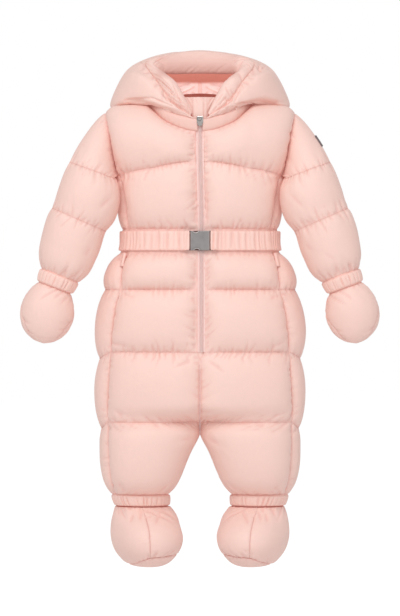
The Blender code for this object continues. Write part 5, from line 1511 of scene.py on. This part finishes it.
# Painted shade along both edges of the raised core.
paintedShade = bell((np.abs(x) - zipLook["coreHalf"] - zipLook["coreEase"]) / 0.0006) * np.ones((rows, 1))
piece = clothPiece("tape_zip", outer, inner, arcs(outer), paintedShade, materials=(tapeCloth, tapeCloth))
ready(piece, ("zip_tape_left", "zip_tape_right", "zip_chain"))
guardRows = (  # height, half width: a chin guard at the top, between the hood's front edges
    (-0.3440, 0.0085), (-0.0300, 0.0085), (-0.0180, 0.0100), (-0.0080, 0.0150), (0.0020, 0.0190),
    (0.0080, 0.0205),
)
guardLook = {
    "rows": (150, 50), "columns": 35, "behind": 0.0036, "curve": 12.0, "thick": 0.0014,
    # The raised strips' edges and heights, and how wide their slopes and the lines of painted shade along
    # them are.
    "strip": (-0.0094, 0.0043, 0.0010), "step": (0.0095, 0.0005), "slope": 0.0008, "line": 0.0005,
    "gather": {"spacing": 0.0050, "depth": 0.0016, "reach": 0.0060, "width": 0.0013},
}
guardCreases = (
    (0.0105, -0.0130, 0.0190, 0.0020, 0.0013, 0.0014), (0.0115, -0.0020, 0.0175, 0.0090, 0.0012, 0.0012),
    (-0.0180, 0.0080, -0.0115, -0.0060, 0.0014, 0.0014), (-0.0140, 0.0100, -0.0112, 0.0010, 0.0012, 0.0010),
)
low, bend, high = guardRows[0][0], guardRows[1][0], guardRows[-1][0]
below, above = guardLook["rows"]
z = np.concatenate([np.linspace(low, bend, below, endpoint=False), np.linspace(bend, high, above)])[:, None]
x = np.linspace(-1, 1, guardLook["columns"])[None, :] * column(guardRows, 1, z)
left, right, stripHigh = guardLook["strip"]
stepAt, stepHigh = guardLook["step"]
beyondStrip = np.maximum(left - x, x - right)
strip = stripHigh * softStep(0.5 - beyondStrip / guardLook["slope"])
strip = strip + stepHigh * softStep(0.5 - (x - stepAt) / guardLook["slope"])
base = stack(x, zipDepth(z) + guardLook["behind"] + guardLook["curve"] * x * x, z)
arc = arcs(base)
lift = strip + creased(base, guardCreases)
lift += gathers(arc[0], fromEnds(arc)[1], 1100, **guardLook["gather"]) * (z > -0.02)
# Painted shade along the strips' edges and the step.
paintedShade = 0.7 * bell(np.minimum(np.abs(beyondStrip), np.abs(x - stepAt)) / guardLook["line"])
piece = dress("wind_guard", base - stack(0, lift, 0), base + (0, guardLook["thick"], 0), arc, paintedShade)


def manyBars(name, centres, ways, outwards, sizes, material, sides=6, taper=0.72):
    # Short rounded bars, one for each centre: rings of points round its way, closed by flat ends.
    length, wide, thick = sizes
    turns = roundTurns(sides)[None, :, None]
    third = unit(np.cross(ways, outwards))
    spokes = third[:, None, :] * np.cos(turns) * wide + outwards[:, None, :] * np.sin(turns) * thick
    points = np.stack([
        centres[:, None, :] + ways[:, None, :] * length * along + spokes * scale / 2
        for along, scale in ((-0.5, taper), (-0.32, 1), (0.32, 1), (0.5, taper))
    ], axis=1)
    local = np.arange(4 * sides).reshape(4, sides)
    after = np.roll(local, -1, axis=1)
    sideFaces = np.stack([local[:-1], after[:-1], after[1:], local[1:]], axis=-1).reshape(-1, 4)
    first = (np.arange(len(centres)) * 4 * sides)[:, None, None]
    faces = (sideFaces[None] + first).reshape(-1, 4).tolist()
    caps = np.stack([local[0][::-1], local[-1]])
    faces += (caps[None] + first).reshape(-1, sides).tolist()
    mesh = bpy.data.meshes.new(name)
    mesh.from_pydata(points.reshape(-1, 3).tolist(), [], faces)
    shaped = bmesh.new()
    shaped.from_mesh(mesh)
    bmesh.ops.recalc_face_normals(shaped, faces=shaped.faces)
    shaped.to_mesh(mesh)
    shaped.free()
    mesh.materials.append(material)
    mesh.shade_smooth()
    return addObject(name, mesh)


z = np.arange(suit["zipEnd"] + 0.001, zipLook["lastTooth"], zipLook["pitch"])
toothZ = np.concatenate([z, z + zipLook["pitch"] / 2])
toothX = np.repeat([zipLook["stagger"], -zipLook["stagger"]], len(z))
centres = stack(toothX + zipMiddle(toothZ), zipDepth(toothZ) - zipLook["proud"], toothZ)
slope = (zipDepth(toothZ + 0.001) - zipDepth(toothZ - 0.001)) / 0.002
outwards = unit(stack(0 * toothZ, -np.ones_like(toothZ), slope))
ways = unit(stack(np.ones_like(toothZ), 0 * toothZ, 0.18 * np.sign(toothX)))
sizes = (zipLook["toothLength"], zipLook["pitch"] * 0.42, zipLook["toothThick"])
coilPaint = Paint("zipCoil")
coilNoise = coilPaint.noise(coilPaint.place(), 900.0)
coilPaint.feed("Base Color", coilPaint.mix(coilNoise, (0.96, 0.77, 0.74, 1), (0.92, 0.71, 0.68, 1)))
coilPaint.feed("Roughness", coilNoise * 0.2 + 0.42)
teeth = manyBars("zip_teeth", centres, ways, outwards, sizes, coilPaint.material)
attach(teeth, "snowsuit")

weltLook = {
    "rows": 22, "columns": 9, "heights": (-0.2190, -0.2015), "width": 0.0045, "thick": 0.0014,
    "clear": 0.0030, "under": 0.0008,
}
share = np.linspace(0, 1, weltLook["rows"])[:, None]
wide = np.linspace(-0.5, 0.5, weltLook["columns"])[None, :]
middle = weltLook["columns"] // 2
heights = blend(*weltLook["heights"], share) + 0 * wide
turns = turnWhere(column(sideSeamRows, 1, heights) + wide * weltLook["width"], heights)
base, lean = bodyGrid(turns, heights)
arc = arcs(base)
edges = np.minimum.reduce([*fromSides(arc), *fromEnds(arc)])
rounding = 0.4 + 0.6 * (1 - (2 * wide) ** 2)
lift = weltLook["clear"] + weltLook["thick"] * rounding - 0.0006 * bell(edges / 0.0008)
outer, inner = lifted(base, lean, lift), base + lean * (weltLook["clear"] - weltLook["under"])
for side, sideName in leftRight:
    dress(f"pocket_welt_{sideName}", outer, inner, arc, seamTone(edges), 0.3, side=side)
    sewn(outer[1:-1, middle], lean[1:-1, middle], side, pitch=0.0026)

patchLook = {
    "grid": (16, 20), "thick": 0.0010, "clear": 0.0009, "under": 0.0008,
    # Where it lies on the sleeve: in rings of the sleeve's solid, and in sixteenths of the way round.
    "rows": (2.5, 3.25), "columns": (-1 / 3, 2 / 3),
}
stations = np.array([0, 0.10, 0.35, 0.65, 0.90]) * capRows
stations = np.concatenate([stations, capRows + stations[:3]])
rows, columns = patchLook["grid"]
rowAt = np.interp(np.linspace(*patchLook["rows"], rows), np.arange(len(stations)), stations)
around = sleeveLook["columns"]
columnAt = np.linspace(*patchLook["columns"], columns) * around / 16
lowRow, lowCol = rowAt.astype(int), np.floor(columnAt).astype(int)
fracRow, fracCol = (rowAt - lowRow)[:, None, None], (columnAt - lowCol)[None, :, None]
corner = [patchGround[lowRow + dr][:, (lowCol + dc) % around] for dr in (0, 1) for dc in (0, 1)]
base = blend(blend(corner[0], corner[1], fracCol), blend(corner[2], corner[3], fracCol), fracRow)
lean = gridNormals(base)
if np.sum(lean[..., 0]) < 0:
    lean = -lean
arc = arcs(base)
edges = np.minimum.reduce([*fromSides(arc), *fromEnds(arc)])
border = 0.75 + 0.35 * bell((edges - 0.0009) / 0.0006)
lift = patchLook["clear"] + patchLook["thick"] * border - 0.0007 * bell(edges / 0.0004)
outer, inner = lifted(base, lean, lift), base + lean * (patchLook["clear"] - patchLook["under"])
if np.sum(np.cross(outer[0, 1] - outer[0, 0], outer[1, 0] - outer[0, 0]) * lean[0, 0]) < 0:
    outer, inner, edges = outer[:, ::-1], inner[:, ::-1], edges[:, ::-1]
piece = clothPiece("patch_sleeve", outer, inner, arc, seamTone(edges), materials=(patchCloth, patchCloth))
ready(piece, "sleeve_patch")
print("zip, welts and patch made")

# Sewing.

stitchSize = (0.0026, 0.00055, 0.00045)
centres, ways, outs = [], [], []
for points, normals, pitch in stitchLines:
    length = lengthsAlong(points)
    at = np.arange(pitch / 2, length[-1], pitch)
    ahead, behind = (readAlong(at + way * pitch * 0.2, length, points) for way in (1, -1))
    centres.append(readAlong(at, length, points))
    ways.append(unit(ahead - behind))
    outs.append(unit(readAlong(at, length, normals)))
centres, ways, outs = (np.concatenate(part) for part in (centres, ways, outs))
stitches = manyBars("stitches", centres, ways, outs, stitchSize, threadPaint.material, sides=5)
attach(stitches, "snowsuit")
print("stitches made:", len(centres))

# Metal.


def metalPaint(name, look):
    # Plated metal: fine scratches one way, cloudy wear, and painted highlights: rings with painted shade
    # round them, and lighter sides.
    paint = Paint(name)
    place = paint.place()
    stretched = paint.node("ShaderNodeMapping", None, {"Vector": place, "Scale": look["grain"]})
    scratch = paint.noise(stretched, 900.0, 4.0)
    cloud = paint.noise(place, 120.0)
    colour = paint.mix(cloud, (*look["light"], 1), (*look["dark"], 1))
    x, z = paint.axis(place, "X"), paint.axis(place, "Z")
    for middleX, middleZ, radius in look.get("rims", ()):
        # A painted highlight ring: bright where the distance from its middle is near its radius, with painted
        # shade round it that reaches further out.
        across, up = x - middleX, z - middleZ
        far = (across * across + up * up) ** 0.5
        for beyond, width, rimHighlightAndShade in ((0.0003, 0.0022, (0.22, 0.20, 0.195)), (0, 0.0007, (0.95, 0.90, 0.88))):
            near = paint.ease((far - (radius + beyond)).absolute(), 0.0, width, 1.0, 0.0)
            colour = paint.mix(near * 0.8, colour, (*rimHighlightAndShade, 1))
    if "edge" in look:
        # Painted highlight: lighter from a little inside edge outwards, towards the sides.
        near = paint.ease(x.absolute(), look["edge"] - 0.0008, look["edge"])
        colour = paint.mix(near * 0.6, colour, (0.80, 0.76, 0.74, 1))
    paint.feed("Base Color", colour)
    paint.feed("Roughness", scratch * 0.22 + (look["roughness"] - 0.11))
    paint.feed("Normal", paint.bump(scratch, look["scratchDepth"]))
    paint.set(Metallic=look["metallic"])
    return paint.material


# Painted highlights on the buckle's plate: rings round its two notches, with painted shade round them, and
# lighter towards its sides.
buckleMetal = metalPaint("buckleMetal", {
    "light": (0.44, 0.415, 0.410), "dark": (0.33, 0.310, 0.305), "roughness": 0.34, "grain": (0.15, 1, 1),
    "scratchDepth": 0.00002, "metallic": 1.0, "edge": 0.0124,
    "rims": ((-0.0057, suit["waist"] + 0.0150, 0.0047), (-0.0043, suit["waist"] - 0.0153, 0.0049)),
})
# The buckle's frame shows only in the gaps beside the plate: painted dark red-brown for the shade there.
frameShadeMetal = metalPaint("frameShadeMetal", {
    "light": (0.160, 0.095, 0.085), "dark": (0.110, 0.060, 0.052), "roughness": 0.50, "grain": (0.15, 1, 1),
    "scratchDepth": 0.00002, "metallic": 0.8,
})
# A painted highlight ring, with painted shade round it, on the slider and its tab.
zipMetal = metalPaint("zipMetal", {
    "light": (0.70, 0.660, 0.635), "dark": (0.52, 0.480, 0.455), "roughness": 0.24, "grain": (1, 1, 0.3),
    "scratchDepth": 0.00002, "metallic": 1.0, "rims": ((-0.0008, -0.0215, 0.0014),),
})
for node, paint in (
    ("buckle_frame", frameShadeMetal), ("buckle_plate", buckleMetal), ("zip_slider", zipMetal),
    ("pull_tab", zipMetal),
):
    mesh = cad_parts[node].data
    mesh.materials.clear()
    mesh.materials.append(paint)
print("metal finished")

# Studio.

studio = {
    "floorHeight": -0.7050, "floorHalf": 14.0, "floorGlow": 0.48, "worldLight": 0.58, "worldSeen": 1.0,
    "cameraDistance": 6.0, "sensor": 36.0, "frameHeight": 0.8316, "frameMiddle": -0.27405,
    "key": {"energy": 62.0, "size": 2.0, "place": (-0.7, -2.7, 2.2)},
    "fill": {"energy": 10.0, "size": 3.0, "place": (1.8, -2.8, 0.4)},
}
half = studio["floorHalf"]
mesh = bpy.data.meshes.new("floor")
corners = [(-half, -half), (half, -half), (half, half), (-half, half)]
mesh.from_pydata([(x, y, studio["floorHeight"]) for x, y in corners], [], [(0, 1, 2, 3)])
floorPaint = Paint("paleFloor")
floorNoise = floorPaint.noise(floorPaint.place(), 2.0)
floorPaint.feed("Base Color", floorPaint.mix(floorNoise, (0.93, 0.93, 0.93, 1), (0.91, 0.91, 0.91, 1)))
seen = floorPaint.node("ShaderNodeLightPath", None, None, "Is Camera Ray")
floorPaint.feed("Emission Color", floorPaint.mix(seen, (0, 0, 0, 1), (1, 1, 1, 1)))
floorPaint.set(Roughness=0.9, Emission_Strength=studio["floorGlow"])
mesh.materials.append(floorPaint.material)
floor = addObject("floor", mesh)

world = bpy.data.worlds.new("studio")
world.use_nodes = True
tree = world.node_tree
backdrop = tree.nodes["Background"].inputs
backdrop["Color"].default_value = (1, 1, 1, 1)
# The backdrop is seen white, and lights the suit less than that.
rays, strength = (tree.nodes.new(kind) for kind in ("ShaderNodeLightPath", "ShaderNodeMapRange"))
strength.inputs["To Min"].default_value = studio["worldLight"]
strength.inputs["To Max"].default_value = studio["worldSeen"]
tree.links.new(rays.outputs["Is Camera Ray"], strength.inputs["Value"])
tree.links.new(strength.outputs["Result"], backdrop["Strength"])
bpy.context.scene.world = world
bpy.context.scene.view_settings.view_transform = "Standard"


def aimed(thing, place, target):
    thing.location = place
    way = np.asarray(target, float) - np.asarray(place, float)
    level = math.hypot(way[0], way[1])
    thing.rotation_euler = (math.pi / 2 + math.atan2(way[2], level), 0, math.atan2(-way[0], way[1]))


for name in ("key", "fill"):
    light = bpy.data.lights.new(name, "AREA")
    light.energy = studio[name]["energy"]
    light.shape = "SQUARE"
    light.size = studio[name]["size"]
    aimed(addObject(name, light), studio[name]["place"], (0, 0, -0.25))

camera = addObject("camera", bpy.data.cameras.new("camera"))
camera.data.sensor_fit = "VERTICAL"
camera.data.sensor_height = studio["sensor"]
camera.data.lens = studio["sensor"] * studio["cameraDistance"] / studio["frameHeight"]
aimed(camera, (0, -studio["cameraDistance"], studio["frameMiddle"]), (0, 0, studio["frameMiddle"]))
bpy.context.scene.camera = camera
print("studio set")
